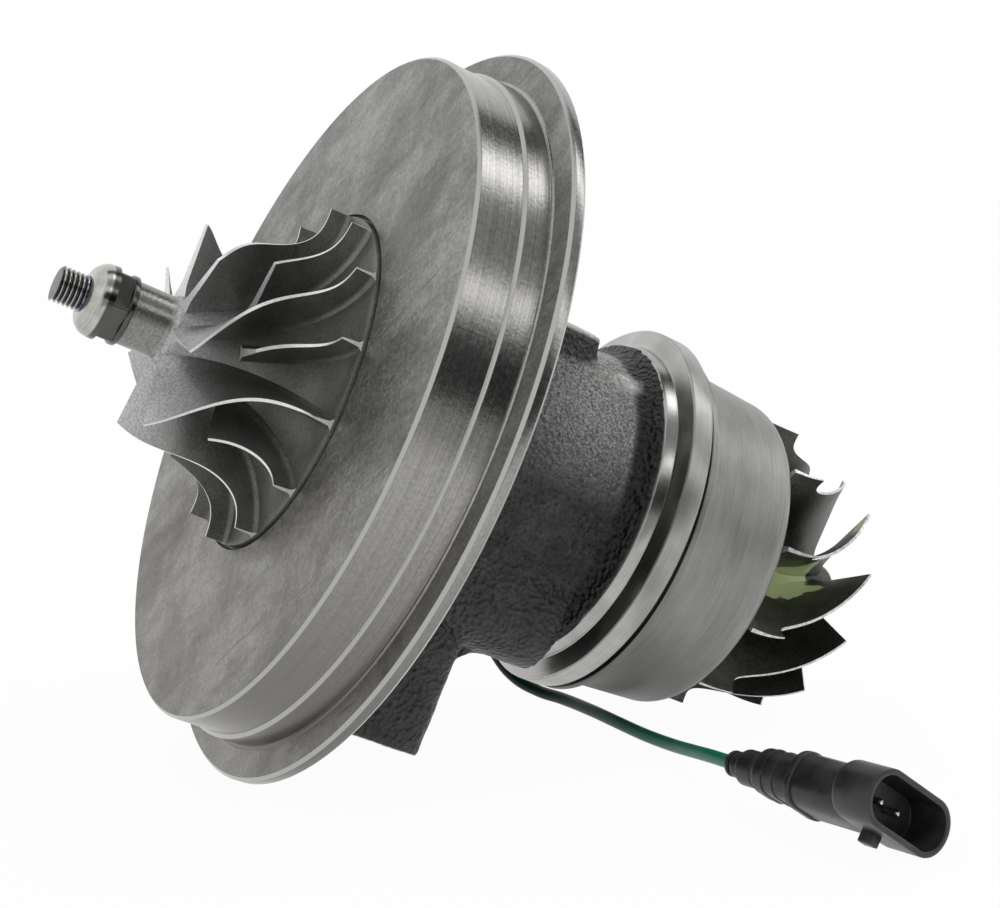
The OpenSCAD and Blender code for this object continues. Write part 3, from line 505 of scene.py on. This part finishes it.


# Heat shield
# A deep-drawn drum of thin steel between the housing and the turbine, with a flat rim that the turbine
# housing clamps and a rounded crown. It is satin, with stains of heat and handling, and painted darker
# towards the bottom as painted shade.
shield_drop = 1.2
shield = lathe("shield_drum", [
    (47.4, 84.4), (52.6, 84.4), (52.8, 84.7), (52.8, 86.1), (52.6, 86.4), (50, 86.4), (49.4, 87)] +
    arc((41.8, 112.8), 6, 0, 90, 10) + [(17.7, 118.8), (17.7, 116.8)] +
    arc((41.8, 112.8), 4, 90, 0, 10) + [(47.4, 87)], steps=256, bevel=0.08)
settle(shield, lie, lie @ Vector((shield_drop, 0, 0)))

sheet_metal, tree, shader = material_start("satin_sheet")
local, radius, height, (down, _) = rotor_place(tree)
around = add_node(tree, "Mapping", {"Vector": local, "Scale": (1, 1, 2.2)}).outputs[0]
cloud = grain(tree, around, 38, 5, 0.6)
fleck = grain(tree, local, 700, 4)
lines = turned_lines(tree, radius, height, 0.0005)
tone = weighted(tree, (cloud, 0.7), (lines, 0.3))
satin = ramp(tree, tone, [(0.33, (0.24, 0.237, 0.228)), (0.5, (0.33, 0.327, 0.316)),
                          (0.66, (0.42, 0.417, 0.405))])
# Towards the bottom the shield is painted darker: painted shade.
below = span(tree, down, -0.020, 0.048)
painted_shade_low = ramp(tree, below, [(0.0, 0.0), (0.33, 0.15), (0.6, 0.28), (0.8, 0.52), (1.0, 0.68)])
feed(shader, "Base Color", tint(tree, painted_shade_low, satin, (0.035, 0.034, 0.032)))
feed(shader, "Metallic", 1.0)
feed(shader, "Roughness", vary(tree, 0.36, cloud, 0.2))
roughen(tree, shader, fleck, 0.10, 0.0003)
shield.data.materials.append(sheet_metal)
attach(shield, "cartridge")
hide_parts("heat_shield")


# Compressor wheel
# An aluminium casting with seven full and seven short blades that sweep from the inlet to the outer edge.
# The cast faces are dark, with a painted highlight towards the inlet, and the edges that were turned to the
# cover's contour are bright.
def blade(name, point, thick, start, long_steps, span_steps, finishes):
    """One blade: a grid shaped to the camber surface and thickened, its edge in the second finish."""
    bpy.ops.object.select_all(action="DESELECT")
    bpy.ops.mesh.primitive_grid_add(x_subdivisions=long_steps, y_subdivisions=span_steps, size=2)
    piece = bpy.context.object
    piece.name = piece.data.name = name
    for finish in finishes:
        piece.data.materials.append(finish)
    girth = piece.vertex_groups.new(name="girth")
    widest = max(thick(0.5, 0.0), thick(0.5, 1.0), thick(0.0, 0.0))
    for vertex in piece.data.vertices:
        u = start + (1 - start) * (vertex.co.x + 1) / 2
        v = (vertex.co.y + 1) / 2
        vertex.co = point(u, v)
        girth.add([vertex.index], min(1.0, thick(u, v) / widest), "REPLACE")
    shape(piece, "SOLIDIFY", thickness=widest, offset=0, vertex_group=girth.name, use_even_offset=False,
          material_offset_rim=1)
    return piece


def face_out():
    """Turns the active piece's faces outwards."""
    bpy.ops.object.mode_set(mode="EDIT")
    bpy.ops.mesh.select_all(action="SELECT")
    bpy.ops.mesh.normals_make_consistent(inside=False)
    bpy.ops.object.mode_set(mode="OBJECT")


def around_hub(name, blades, count, hub):
    """Copies each blade around the axis and joins them with the hub."""
    copies = []
    for model, phase in blades:
        for i in range(count):
            copy = model.copy()
            copy.data = model.data.copy()
            scene.collection.objects.link(copy)
            copy.data.transform(Matrix.Rotation(math.radians(phase + 360 / count * i), 4, "Z"))
            copies.append(copy)
        bpy.data.objects.remove(model)
    join([hub] + copies)
    hub.name = hub.data.name = name
    face_out()


wheel_r, inducer_r, root_hub_r = 48.0, 30.0, 9.5
exit_z, blade_len, exit_h, wrap = -21.4, 36.2, 5.7, 50.0
wheel_phase, wheel_count, splitter_start = 21.5, 7, 0.31
inlet_z, blade_r, root_sink = exit_z - blade_len, wheel_r - 0.2, 0.06


def quarter(u):
    return math.sin(math.pi / 2 * u), math.cos(math.pi / 2 * u)


def wheel_point(u, v):
    s, c = quarter(u)
    low = (inlet_z + blade_len * s, blade_r + (root_hub_r - blade_r) * c)
    tip = (inlet_z + (blade_len - exit_h) * s ** 0.9, blade_r + (inducer_r - blade_r) * max(c, 0) ** 0.7)
    v = (1 + root_sink) * v - root_sink
    height, radius = low[0] + (tip[0] - low[0]) * v, low[1] + (tip[1] - low[1]) * v
    angle = math.radians(wrap * (0.88 * (1 - u) ** 4.7 + 0.12 * (1 - u)))
    return Vector((radius * math.cos(angle), radius * math.sin(angle), height))


def wheel_thick(u, v):
    body = (2.6 - 1.7 * v) * (0.55 + 0.45 * math.sin(math.pi * min(1, 0.15 + 0.85 * u)))
    return body + 2.0 * math.exp(-((v - 0.02) / 0.10) ** 2 / 1.6)


wheel_line = [(wheel_r + (root_hub_r - wheel_r) * quarter(i / 24)[1],
               inlet_z + blade_len * quarter(i / 24)[0]) for i in range(25)]
bore_r, nose_r, nose_z, back_z = 6.02, 8.75, -69.6, -19.5
wheel = lathe("compressor_hub", [
    (bore_r, back_z), (bore_r, nose_z), (nose_r, nose_z), (nose_r, inlet_z - 1)] + wheel_line +
    [(wheel_r, back_z - 0.3), (wheel_r - 0.4, back_z)], steps=196, bevel=0.1)
cast_alloy, tree, shader = material_start("dark_cast_alloy")
local, radius, height, _ = rotor_place(tree)
shot = grain(tree, local, 1500, 3, 0.6)
cloud = grain(tree, local, 70, 4)
nose = span(tree, height, -0.0578, -0.0604)
inside = span(tree, radius, 0.0125, 0.0100)
nose = times(tree, nose, inside)
tone = weighted(tree, (cloud, 0.55), (shot, 0.45))
cast = ramp(tree, tone, [(0.33, (0.10, 0.099, 0.095)), (0.5, (0.17, 0.168, 0.162)),
                         (0.68, (0.26, 0.257, 0.249))])
turned = ramp(tree, shot, [(0.34, (0.17, 0.167, 0.158)), (0.68, (0.30, 0.297, 0.287))])
# Towards the inlet the cast faces are painted lighter: a painted highlight.
inlet = span(tree, height, -0.043, -0.057)
cast = tint(tree, times(tree, inlet, 0.85), cast, ramp(tree, shot, [(0.35, 0.38), (0.65, 0.68)]))
feed(shader, "Base Color", tint(tree, nose, cast, turned))
feed(shader, "Metallic", 0.78)
rough = add_node(tree, "Mix", {"Factor": nose, "A": vary(tree, 0.36, shot, 0.24), "B": 0.24}).outputs[0]
feed(shader, "Roughness", rough)
roughen(tree, shader, times(tree, shot, inverse(tree, times(tree, nose, 0.6))), 0.35, 0.0003)

bright_edge, tree, shader = material_start("turned_edge")
local, radius, height, _ = rotor_place(tree)
fine = grain(tree, local, 1800, 3)
feed(shader, "Base Color", ramp(tree, fine, [(0.3, (0.70, 0.695, 0.68)), (0.65, (0.90, 0.895, 0.88))]))
feed(shader, "Metallic", 0.45)
feed(shader, "Roughness", vary(tree, 0.22, fine, 0.2))
roughen(tree, shader, turned_lines(tree, radius, height, 0.0002), 0.12, 0.0002)
wheel.data.materials.append(cast_alloy)
wheel.data.materials.append(bright_edge)
wheel_finishes = (cast_alloy, bright_edge)
full = blade("full_blade", wheel_point, wheel_thick, 0.0, 60, 20, wheel_finishes)
short = blade("short_blade", wheel_point, wheel_thick, splitter_start, 44, 20, wheel_finishes)
around_hub("compressor_wheel_dressed", [(full, wheel_phase), (short, wheel_phase + 180 / wheel_count)],
           wheel_count, wheel)
settle(wheel, lie, smooth=40)
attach(wheel, "rotor")
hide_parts("compressor_wheel")


# Compressor nut
# A steel lock nut with a domed collar towards the thread, a hexagon and a round seat against the wheel's
# nose. It is turned and plated, so it mirrors the room.
nut_bore_r = 5.02
nut = lathe("nut_dressed", [(nut_bore_r, -81.6)] + arc((5.3, -76.8), 4.8, -88, -5, 12) +
            [(10.2, -75.4), (nut_bore_r, -75.4)], steps=96)
bpy.ops.object.select_all(action="DESELECT")
bpy.ops.mesh.primitive_cylinder_add(vertices=6, radius=10.3, depth=6.2, location=(0, 0, -73.9))
hexagon = bpy.context.object
soften(hexagon, 0.5, 3, 40)
seat = lathe("nut_seat", [(nut_bore_r, -71.2), (9.5, -71.2), (9.7, -70.9), (9.7, -69.7),
                          (nut_bore_r, -69.7)], steps=96, bevel=0.1)
nut = join([nut, hexagon, seat])
settle(nut, lie)
nut_steel, tree, shader = material_start("plated_nut")
local, radius, height, _ = rotor_place(tree)
smear = grain(tree, local, 210, 4)
lines = turned_lines(tree, radius, height, 0.00025)
plated = ramp(tree, weighted(tree, (smear, 0.6), (lines, 0.4)),
              [(0.34, (0.34, 0.335, 0.32)), (0.62, (0.56, 0.555, 0.53))])
# The hexagon and the seat beyond it are painted nearly black: a painted dark reflection.
on_hex = span(tree, height, -0.0774, -0.0768)
feed(shader, "Base Color", tint(tree, times(tree, on_hex, 0.9), plated, (0.055, 0.054, 0.052)))
feed(shader, "Metallic", 1.0)
feed(shader, "Roughness", vary(tree, 0.10, smear, 0.22))
roughen(tree, shader, smear, 0.08, 0.0005)
nut.data.materials.append(nut_steel)
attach(nut, "rotor")
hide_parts("compressor_nut")


# Rotor shaft
# A ground steel shaft through the whole part. Only its threaded end shows, past the nut: a rolled M10 thread,
# dark with oil, with bright crests and a trace of blue thread locker at the nut.
pitch, root_r, crest_r, turns = 1.25, 4.25, 5.0, 11
thread_end, thread_start, shaft_end = -89.2, -79.0, -79.2
start_edit()
bpy.ops.mesh.merge(type="CENTER")
bpy.ops.transform.translate(value=(root_r, 0, thread_end - 1.5 * pitch))
tooth = ((0, 0.16), (crest_r - root_r, 0.38), (0, 0.16), (root_r - crest_r, 0.38))
tooth_len = sum(rise for _, rise in tooth)
for step_out, rise in tooth:
    move = (step_out, 0, rise * pitch / tooth_len)
    bpy.ops.mesh.extrude_region_move(TRANSFORM_OT_translate={"value": move})
bpy.ops.object.mode_set(mode="OBJECT")
thread = bpy.context.object
thread.name = thread.data.name = "shaft_thread"
shape(thread, "SCREW", axis="Z", screw_offset=pitch, iterations=turns, steps=48, render_steps=48,
      use_merge_vertices=True, merge_threshold=0.003)
cut_off((0, 0, thread_end), (0, 0, 1), keep_below=False)
cut_off((0, 0, thread_start), (0, 0, 1), keep_below=True)
face_out()
settle(thread, lie, smooth=50)
shaft = node_copy("rotor_shaft", "shaft_dressed")
cut_off(along * shaft_end / 1000, along, keep_below=False)
bpy.ops.object.shade_smooth_by_angle(angle=math.radians(35))
thread_steel, tree, shader = material_start("oiled_thread")
local, radius, height, _ = rotor_place(tree)
crest = span(tree, radius, 0.00455, 0.0050)
oil = grain(tree, local, 600, 4)
locker = span(tree, height, -0.0836, -0.0818)
steel = tint(tree, crest, (0.10, 0.098, 0.094), (0.62, 0.615, 0.60))
blue = times(tree, locker, ramp(tree, oil, [(0.46, 0.0), (0.56, 1.0)]))
feed(shader, "Base Color", tint(tree, blue, steel, (0.08, 0.16, 0.30)))
feed(shader, "Metallic", 1.0)
feed(shader, "Roughness", vary(tree, 0.2, oil, 0.25))
ground_steel, tree, shader = material_start("ground_shaft")
local, radius, height, _ = rotor_place(tree)
lines = turned_lines(tree, radius, height, 0.0003)
feed(shader, "Base Color", ramp(tree, lines, [(0.3, (0.46, 0.455, 0.44)), (0.7, (0.66, 0.65, 0.63))]))
feed(shader, "Metallic", 1.0)
feed(shader, "Roughness", vary(tree, 0.14, grain(tree, local, 400), 0.16))
shaft.data.materials.append(ground_steel)
thread.data.materials.append(thread_steel)
shaft = join([shaft, thread])
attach(shaft, "rotor")
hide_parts("rotor_shaft")


# Turbine wheel
# A cast nickel alloy wheel with eleven scalloped blades, nearly black from heat, with light worn edges
# and a daub of green inspection paint between two blades.
turbine_r, exducer_r, turbine_hub_r = 44.5, 37.0, 10.5
turbine_z, vane_z, exducer_z, inlet_w, vane_sink = 119.7, 120.9, 155.5, 11.3, 0.08
turbine_wrap, turbine_bend, turbine_phase, turbine_count = 40.0, 2.7, 21.5, 11


def turbine_point(u, v):
    s, c = quarter(u)
    low = (vane_z + (exducer_z - vane_z) * (1 - c), turbine_r + (turbine_hub_r - turbine_r) * s)
    tip = (turbine_z + inlet_w + (exducer_z - turbine_z - inlet_w) * (1 - c),
           turbine_r + (exducer_r - turbine_r) * s ** 0.35)
    v = (1 + vane_sink) * v - vane_sink
    height, radius = low[0] + (tip[0] - low[0]) * v, low[1] + (tip[1] - low[1]) * v
    share = max(0.0, (height - turbine_z) / (exducer_z - turbine_z))
    angle = math.radians(turbine_wrap * (1 - share ** turbine_bend))
    return Vector((radius * math.cos(angle), radius * math.sin(angle), height))


def turbine_thick(u, v):
    body = (3.2 - 2.1 * v) * (1 - 0.35 * u) * min(1, 0.4 + 3 * u)
    return body + 2.4 * math.exp(-((v - 0.05) / 0.08) ** 2 / 1.6) * min(1, 3 * u)


hub_line = [(turbine_r + (turbine_hub_r - turbine_r) * quarter(i / 24)[0],
             vane_z + (exducer_z - vane_z) * (1 - quarter(i / 24)[1])) for i in range(6, 24)]
turbine = lathe("turbine_hub", [
    (0.01, 91.8), (15, 91.8), (15, 118.2), (17, turbine_z), (hub_line[0][0], turbine_z)] + hub_line +
    [(turbine_hub_r, 159.5)] + arc((turbine_hub_r - 4, 160.5), 4, 0, 90, 6) + [(0.01, 164.5)],
    steps=198, bevel=0.12)
burnt_alloy, tree, shader = material_start("burnt_alloy")
local, radius, height, (down, far) = rotor_place(tree)
scale_skin = grain(tree, local, 1100, 4, 0.6)
cloud = grain(tree, local, 60, 5)
tone = weighted(tree, (cloud, 0.6), (scale_skin, 0.4))
burnt = ramp(tree, tone, [(0.35, (0.045, 0.044, 0.041)), (0.52, (0.098, 0.096, 0.089)),
                          (0.68, (0.185, 0.18, 0.169))])
ragged = times(tree, calc(tree, "SUBTRACT", grain(tree, local, 210, 4), 0.5), 0.012)
share = span(tree, height, turbine_z / 1000, exducer_z / 1000)
turned_by = times(tree, inverse(tree, calc(tree, "POWER", share, turbine_bend)), math.radians(turbine_wrap))
bearing = calc(tree, "SUBTRACT", calc(tree, "ARCTAN2", far, down), turned_by)
painted_gap = math.radians(turbine_phase + 6.5 * 360 / turbine_count - 360)
off_gap = calc(tree, "ABSOLUTE", calc(tree, "SUBTRACT", bearing, painted_gap))
in_gap = ramp(tree, off_gap, [(0.25, 1.0), (0.27, 0.0)])
on_hub = span(tree, calc(tree, "ADD", radius, ragged), 0.0212, 0.0204)
before_end = span(tree, calc(tree, "ADD", height, ragged), 0.1512, 0.1504)
tip_mark = distance_from(tree, local, (-0.027, -0.0252, 0.1525))
painted = calc(tree, "MAXIMUM", times(tree, in_gap, times(tree, on_hub, before_end)),
               ramp(tree, calc(tree, "ADD", tip_mark, ragged), [(0.0065, 1.0), (0.0070, 0.0)]))
paint = tint(tree, scale_skin, (0.42, 0.50, 0.24), (0.60, 0.68, 0.40))
feed(shader, "Base Color", tint(tree, painted, burnt, paint))
feed(shader, "Metallic", calc(tree, "SUBTRACT", 0.9, times(tree, painted, 0.9)))
feed(shader, "Roughness", vary(tree, 0.34, scale_skin, 0.28))
roughen(tree, shader, scale_skin, 0.3, 0.0003)
worn_edge, tree, shader = material_start("worn_edge")
local = rotor_place(tree)[0]
fine = grain(tree, local, 900, 4)
feed(shader, "Base Color", ramp(tree, fine, [(0.32, (0.42, 0.415, 0.40)), (0.62, (0.78, 0.775, 0.76))]))
feed(shader, "Metallic", 0.6)
feed(shader, "Roughness", 0.33)
turbine.data.materials.append(burnt_alloy)
turbine.data.materials.append(worn_edge)
vane = blade("turbine_blade", turbine_point, turbine_thick, 0.0, 48, 20, (burnt_alloy, worn_edge))
around_hub("turbine_wheel_dressed", [(vane, turbine_phase)], turbine_count, turbine)
settle(turbine, lie, smooth=40)
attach(turbine, "rotor")
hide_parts("turbine_wheel")


# Connector
# A two-way plug moulded in black plastic on the end of the lead: a ribbed boot, a narrow cap with ribs,
# and a shell with a flared oval mouth, lugs for the mating plug's latch and two tin plated pins inside.
plug_at = lead_points[-1]
plug_turn = (Euler((math.radians(87.3), 0, math.radians(13))).to_matrix()
             @ Matrix.Rotation(math.radians(-34.6), 3, "Z"))
boot_end, collar_end, cap_end, mouth_start, mouth_end = 5.3, 15.0, 28.4, 48.8, 62


def bar(name, width, depth, low, high, corner, segments=8):
    """An upright bar of rounded rectangle section."""
    bpy.ops.object.select_all(action="DESELECT")
    bpy.ops.mesh.primitive_cube_add(size=1, location=(0, 0, (low + high) / 2),
                                    scale=(width, depth, high - low))
    piece = bpy.context.object
    piece.name = piece.data.name = name
    bpy.ops.object.transform_apply(location=True, rotation=True, scale=True)
    bpy.ops.object.mode_set(mode="EDIT")
    bpy.ops.mesh.select_mode(type="EDGE")
    bpy.ops.mesh.select_all(action="DESELECT")
    bpy.ops.object.mode_set(mode="OBJECT")
    for edge in piece.data.edges:
        a, b = (piece.data.vertices[i].co for i in edge.vertices)
        edge.select = abs(a.z - b.z) > 0.5 * (high - low)
    bpy.ops.object.mode_set(mode="EDIT")
    bpy.ops.mesh.bevel(offset=corner, segments=segments, affect="EDGES")
    bpy.ops.object.mode_set(mode="OBJECT")
    return piece


def pick_faces(piece, test):
    """Leaves the piece in edit mode with the faces that pass the test selected."""
    bpy.context.view_layer.objects.active = piece
    bpy.ops.object.mode_set(mode="EDIT")
    bpy.ops.mesh.select_mode(type="FACE")
    bpy.ops.mesh.select_all(action="DESELECT")
    bpy.ops.object.mode_set(mode="OBJECT")
    for face in piece.data.polygons:
        face.select = test(face)
    bpy.ops.object.mode_set(mode="EDIT")


boot_line = [(1.9, 0.0), (2.6, 0.0), (2.75, 0.3)]
for low, high in ((0.3, 1.6), (2.1, 4.9)):
    boot_line += [(2.9, low), (3.4, low + 0.15), (3.5, low + 0.4), (3.5, high - 0.35), (3.38, high - 0.1),
                  (2.8, high)]
boot = lathe("boot_dressed", boot_line + [(2.75, boot_end), (1.9, boot_end)], steps=64)
settle(boot, plug_turn, plug_at)
cap = bar("cap_body", 15.0, 12.0, collar_end - 0.5, cap_end, 5.4)
soften(cap, 0.7, 4, 50)
collar = lathe("cap_collar", [(0.01, boot_end), (3.8, boot_end)] +
               arc((3.8, boot_end + 1), 1.0, -90, 0, 5) +
               [(4.8, 10.9), (4.6, 11.1), (4.7, 11.4), (5.5, 14.2), (5.6, collar_end), (0.01, collar_end)],
               steps=64)
ribs = []
for low in (17.6, 21.6):
    rib = bar("cap_rib", 15.5, 12.5, low, low + 0.9, 5.6)
    soften(rib, 0.3, 2, 50)
    ribs.append(rib)
cap = join([cap, collar] + ribs)
settle(cap, plug_turn, plug_at, 40)
shell = bar("shell_mouth", 31.4, 14.8, mouth_start, mouth_end, 7.3, 16)
pick_faces(shell, lambda face: face.normal.z > 0.9)
bpy.ops.mesh.inset(thickness=1.6)
bpy.ops.mesh.extrude_region_move(TRANSFORM_OT_translate={"value": (0, 0, -11.6)})
bpy.ops.object.mode_set(mode="OBJECT")
pick_faces(shell, lambda face: face.normal.z < -0.9 and face.center.z < mouth_start + 0.2)
bpy.ops.mesh.bevel(offset=2.2, segments=5, affect="EDGES")
bpy.ops.object.mode_set(mode="OBJECT")
soften(shell, 0.4, 3, 50)
neck = bar("shell_neck", 18.4, 14.2, cap_end, mouth_start + 1.2, 5.9)
soften(neck, 0.6, 4, 50)
seam = bar("shell_seam", 19.4, 15.2, cap_end, cap_end + 2.4, 6.4)
soften(seam, 0.5, 3, 50)
lug = bar("shell_lug", 5.0, 2.2, 44.8, 49.8, 0.5, 3)
lug.data.transform(Matrix.Translation((0, 7.2, 0)))
soften(lug, 0.35, 3, 50)
latch = bar("shell_latch", 3.4, 3.6, 51.2, 55.4, 0.5, 3)
latch.data.transform(Matrix.Translation((0, -8.4, 0)))
soften(latch, 0.35, 3, 50)
shell = join([shell, neck, seam, lug, latch])
shell.name = shell.data.name = "shell_dressed"
settle(shell, plug_turn, plug_at, 40)
pins = []
for side in (-3.5, 3.5):
    pin = lathe("pin", [(0.01, 30.5), (1.0, 30.5), (1.0, 54.5), (0.86, 55.0), (0.5, 55.5), (0.01, 55.6)],
                steps=32)
    pin.data.transform(Matrix.Translation((side, 0, 0)))
    pins.append(pin)
pins = join(pins)
pins.name = pins.data.name = "pins_dressed"
settle(pins, plug_turn, plug_at)

moulded, tree, shader = material_start("moulded_black")
place = object_place(tree)
dust = grain(tree, place, 180, 5)
pock = grain(tree, place, 2600, 3)
feed(shader, "Base Color", ramp(tree, dust, [(0.35, (0.010, 0.010, 0.010)), (0.66, (0.030, 0.030, 0.030))]))
feed(shader, "Roughness", vary(tree, 0.24, dust, 0.26))
roughen(tree, shader, pock, 0.18, 0.0002)
tinned, tree, shader = material_start("tinned_pin")
place = object_place(tree)
tin = grain(tree, place, 1200, 3)
feed(shader, "Base Color", ramp(tree, tin, [(0.3, (0.62, 0.61, 0.59)), (0.7, (0.86, 0.85, 0.83))]))
feed(shader, "Metallic", 1.0)
feed(shader, "Roughness", 0.2)
for piece, node, finish, slot in ((boot, "connector_boot", moulded, "black_plastic"),
                                  (cap, "connector_cap", moulded, "black_plastic"),
                                  (shell, "connector_shell", moulded, "black_plastic"),
                                  (pins, "connector_pins", tinned, "tin_pins")):
    piece.data.materials.append(finish)
    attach(piece, "cartridge")
    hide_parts(node)


# Speed sensor, its screw and gland, and the housing's bolts
# Small bought-in pieces on the far side and behind the backplate: a moulded sensor held by a socket screw,
# a cable gland, and zinc plated hexagon bolts with washers.
zinc, tree, shader = material_start("zinc_plated")
place = object_place(tree)
cloud = grain(tree, place, 150, 4)
feed(shader, "Base Color", ramp(tree, cloud, [(0.35, (0.36, 0.355, 0.34)), (0.65, (0.60, 0.59, 0.57))]))
feed(shader, "Metallic", 1.0)
feed(shader, "Roughness", vary(tree, 0.2, cloud, 0.3))
roughen(tree, shader, grain(tree, place, 1600, 3), 0.12, 0.0002)
for node, finish, slot, width in (("speed_sensor", moulded, "black_plastic", 0.5),
                                  ("sensor_screw", zinc, "machined_steel", 0.3),
                                  ("cable_gland", moulded, "black_plastic", 0.4),
                                  ("backplate_bolts", zinc, "machined_steel", 0.35)):
    piece = node_copy(node, node + "_dressed")
    soften(piece, width / 1000, 2, 40)
    bpy.ops.object.shade_smooth_by_angle(angle=math.radians(35))
    piece.data.materials.append(finish)
    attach(piece, "cartridge")
    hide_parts(node)


# Pieces inside the housing
# Bronze bearings, steel seals and rings and rubber O-rings, all closed in. They keep their CAD solids.
bronze, tree, shader = material_start("bearing_bronze")
place = object_place(tree)
cloud = grain(tree, place, 240, 4)
feed(shader, "Base Color", ramp(tree, cloud, [(0.35, (0.42, 0.27, 0.11)), (0.66, (0.62, 0.43, 0.20))]))
feed(shader, "Metallic", 1.0)
feed(shader, "Roughness", vary(tree, 0.22, cloud, 0.2))
rubber, tree, shader = material_start("seal_rubber")
place = object_place(tree)
cloud = grain(tree, place, 300, 3)
feed(shader, "Base Color", ramp(tree, cloud, [(0.35, (0.010, 0.010, 0.010)), (0.66, (0.024, 0.024, 0.024))]))
feed(shader, "Roughness", 0.55)
for finish, names in (
        (bronze, ("thrust_bearing", "journal_bearing_compressor", "journal_bearing_turbine")),
        (rubber, ("backplate_o_ring", "seal_plate_o_ring", "sensor_o_ring")),
        (zinc, ("oil_seal_plate", "seal_plate_snap_ring", "oil_deflector", "thrust_screws",
                "bearing_snap_rings", "compressor_piston_ring", "turbine_piston_rings", "seal_sleeve",
                "thrust_collar", "thrust_washer"))):
    for name in names:
        nodes[name].data.materials.clear()
        nodes[name].data.materials.append(finish)


# Bench and studio light
# A white bench and a white room. Long strip lights hang along the rotor's direction, and black and grey cards
# around the part give the turned metal its dark bands; the camera doesn't see lights or cards.
def seen_rays(tree):
    """1 where the camera looks, and where metal and clear pieces show what is behind or before them."""
    path = add_node(tree, "LightPath").outputs
    return calc(tree, "MAXIMUM", path["Is Camera Ray"],
                calc(tree, "MAXIMUM", path["Is Glossy Ray"], path["Is Transmission Ray"]))


bench_z = -0.0984
bpy.ops.object.select_all(action="DESELECT")
bpy.ops.mesh.primitive_plane_add(size=12, location=(0, 0, bench_z))
bench = bpy.context.object
bench.name = "bench"
white, tree, shader = material_start("white_bench")
feed(shader, "Base Color", (0.9, 0.9, 0.9, 1))
feed(shader, "Roughness", 0.9)
feed(shader, "Specular IOR Level", 0.0)
glow = add_node(tree, "Emission", {"Color": (1, 1, 1, 1), "Strength": 1.0})
blend = add_node(tree, "MixShader", {0: times(tree, seen_rays(tree), 0.96)})
tree.links.new(shader.outputs[0], blend.inputs[1])
tree.links.new(glow.outputs[0], blend.inputs[2])
tree.links.new(blend.outputs[0], tree.nodes["Material Output"].inputs["Surface"])
bench.data.materials.append(white)

world = bpy.data.worlds.new("white_room")
scene.world = world
world.use_nodes = True
tree = world.node_tree
back = tree.nodes["Background"]
feed(back, "Strength", vary(tree, 0.9, seen_rays(tree), 0.1))
feed(back, "Color", (1, 1, 1, 1))

upwards, nearer = lie @ Vector((-1, 0, 0)), Vector((0, -1, 0))
lamp_distance, card_distance = 1.1, 1.15


def around_part(angle, distance, shift):
    """A place around the rotor axis that faces it, with its angle from above towards the camera's side."""
    out = upwards * math.cos(math.radians(angle)) + nearer * math.sin(math.radians(angle))
    facing = Matrix((along, along.cross(out).normalized(), out)).transposed().to_4x4()
    return Matrix.Translation(out * distance + along * shift) @ facing


for name, angle, width, length, shift, power in (("strip_top", 2, 0.22, 1.6, 0.7, 2.4),
                                                 ("strip_front", 46, 0.12, 1.4, 0.5, 0.8)):
    lamp_data = bpy.data.lights.new(name, "AREA")
    lamp_data.shape = "RECTANGLE"
    lamp_data.size, lamp_data.size_y = length, width
    lamp_data.energy = power
    lamp = bpy.data.objects.new(name, lamp_data)
    scene.collection.objects.link(lamp)
    lamp.matrix_world = around_part(angle, lamp_distance, shift)

for name, angle, width, length, shift, shade in (("card_back", -17, 0.33, 2.4, 0.6, 0.02),
                                                 ("card_mid", 26, 0.58, 2.4, 0.5, 0.40),
                                                 ("card_front", 68, 0.54, 2.4, 0.4, 0.02),
                                                 ("card_low", 104, 0.88, 2.0, 0.3, 0.45)):
    paper, tree, shader = material_start(name)
    feed(shader, "Base Color", (shade, shade, shade, 1))
    feed(shader, "Roughness", 1.0)
    feed(shader, "Specular IOR Level", 0.0)
    bpy.ops.mesh.primitive_plane_add(size=1)
    card = bpy.context.object
    card.name = name
    card.matrix_world = around_part(angle, card_distance, shift) @ Matrix.Diagonal((length, width, 1, 1))
    card.data.materials.append(paper)
    card.visible_camera = card.visible_shadow = card.visible_diffuse = False
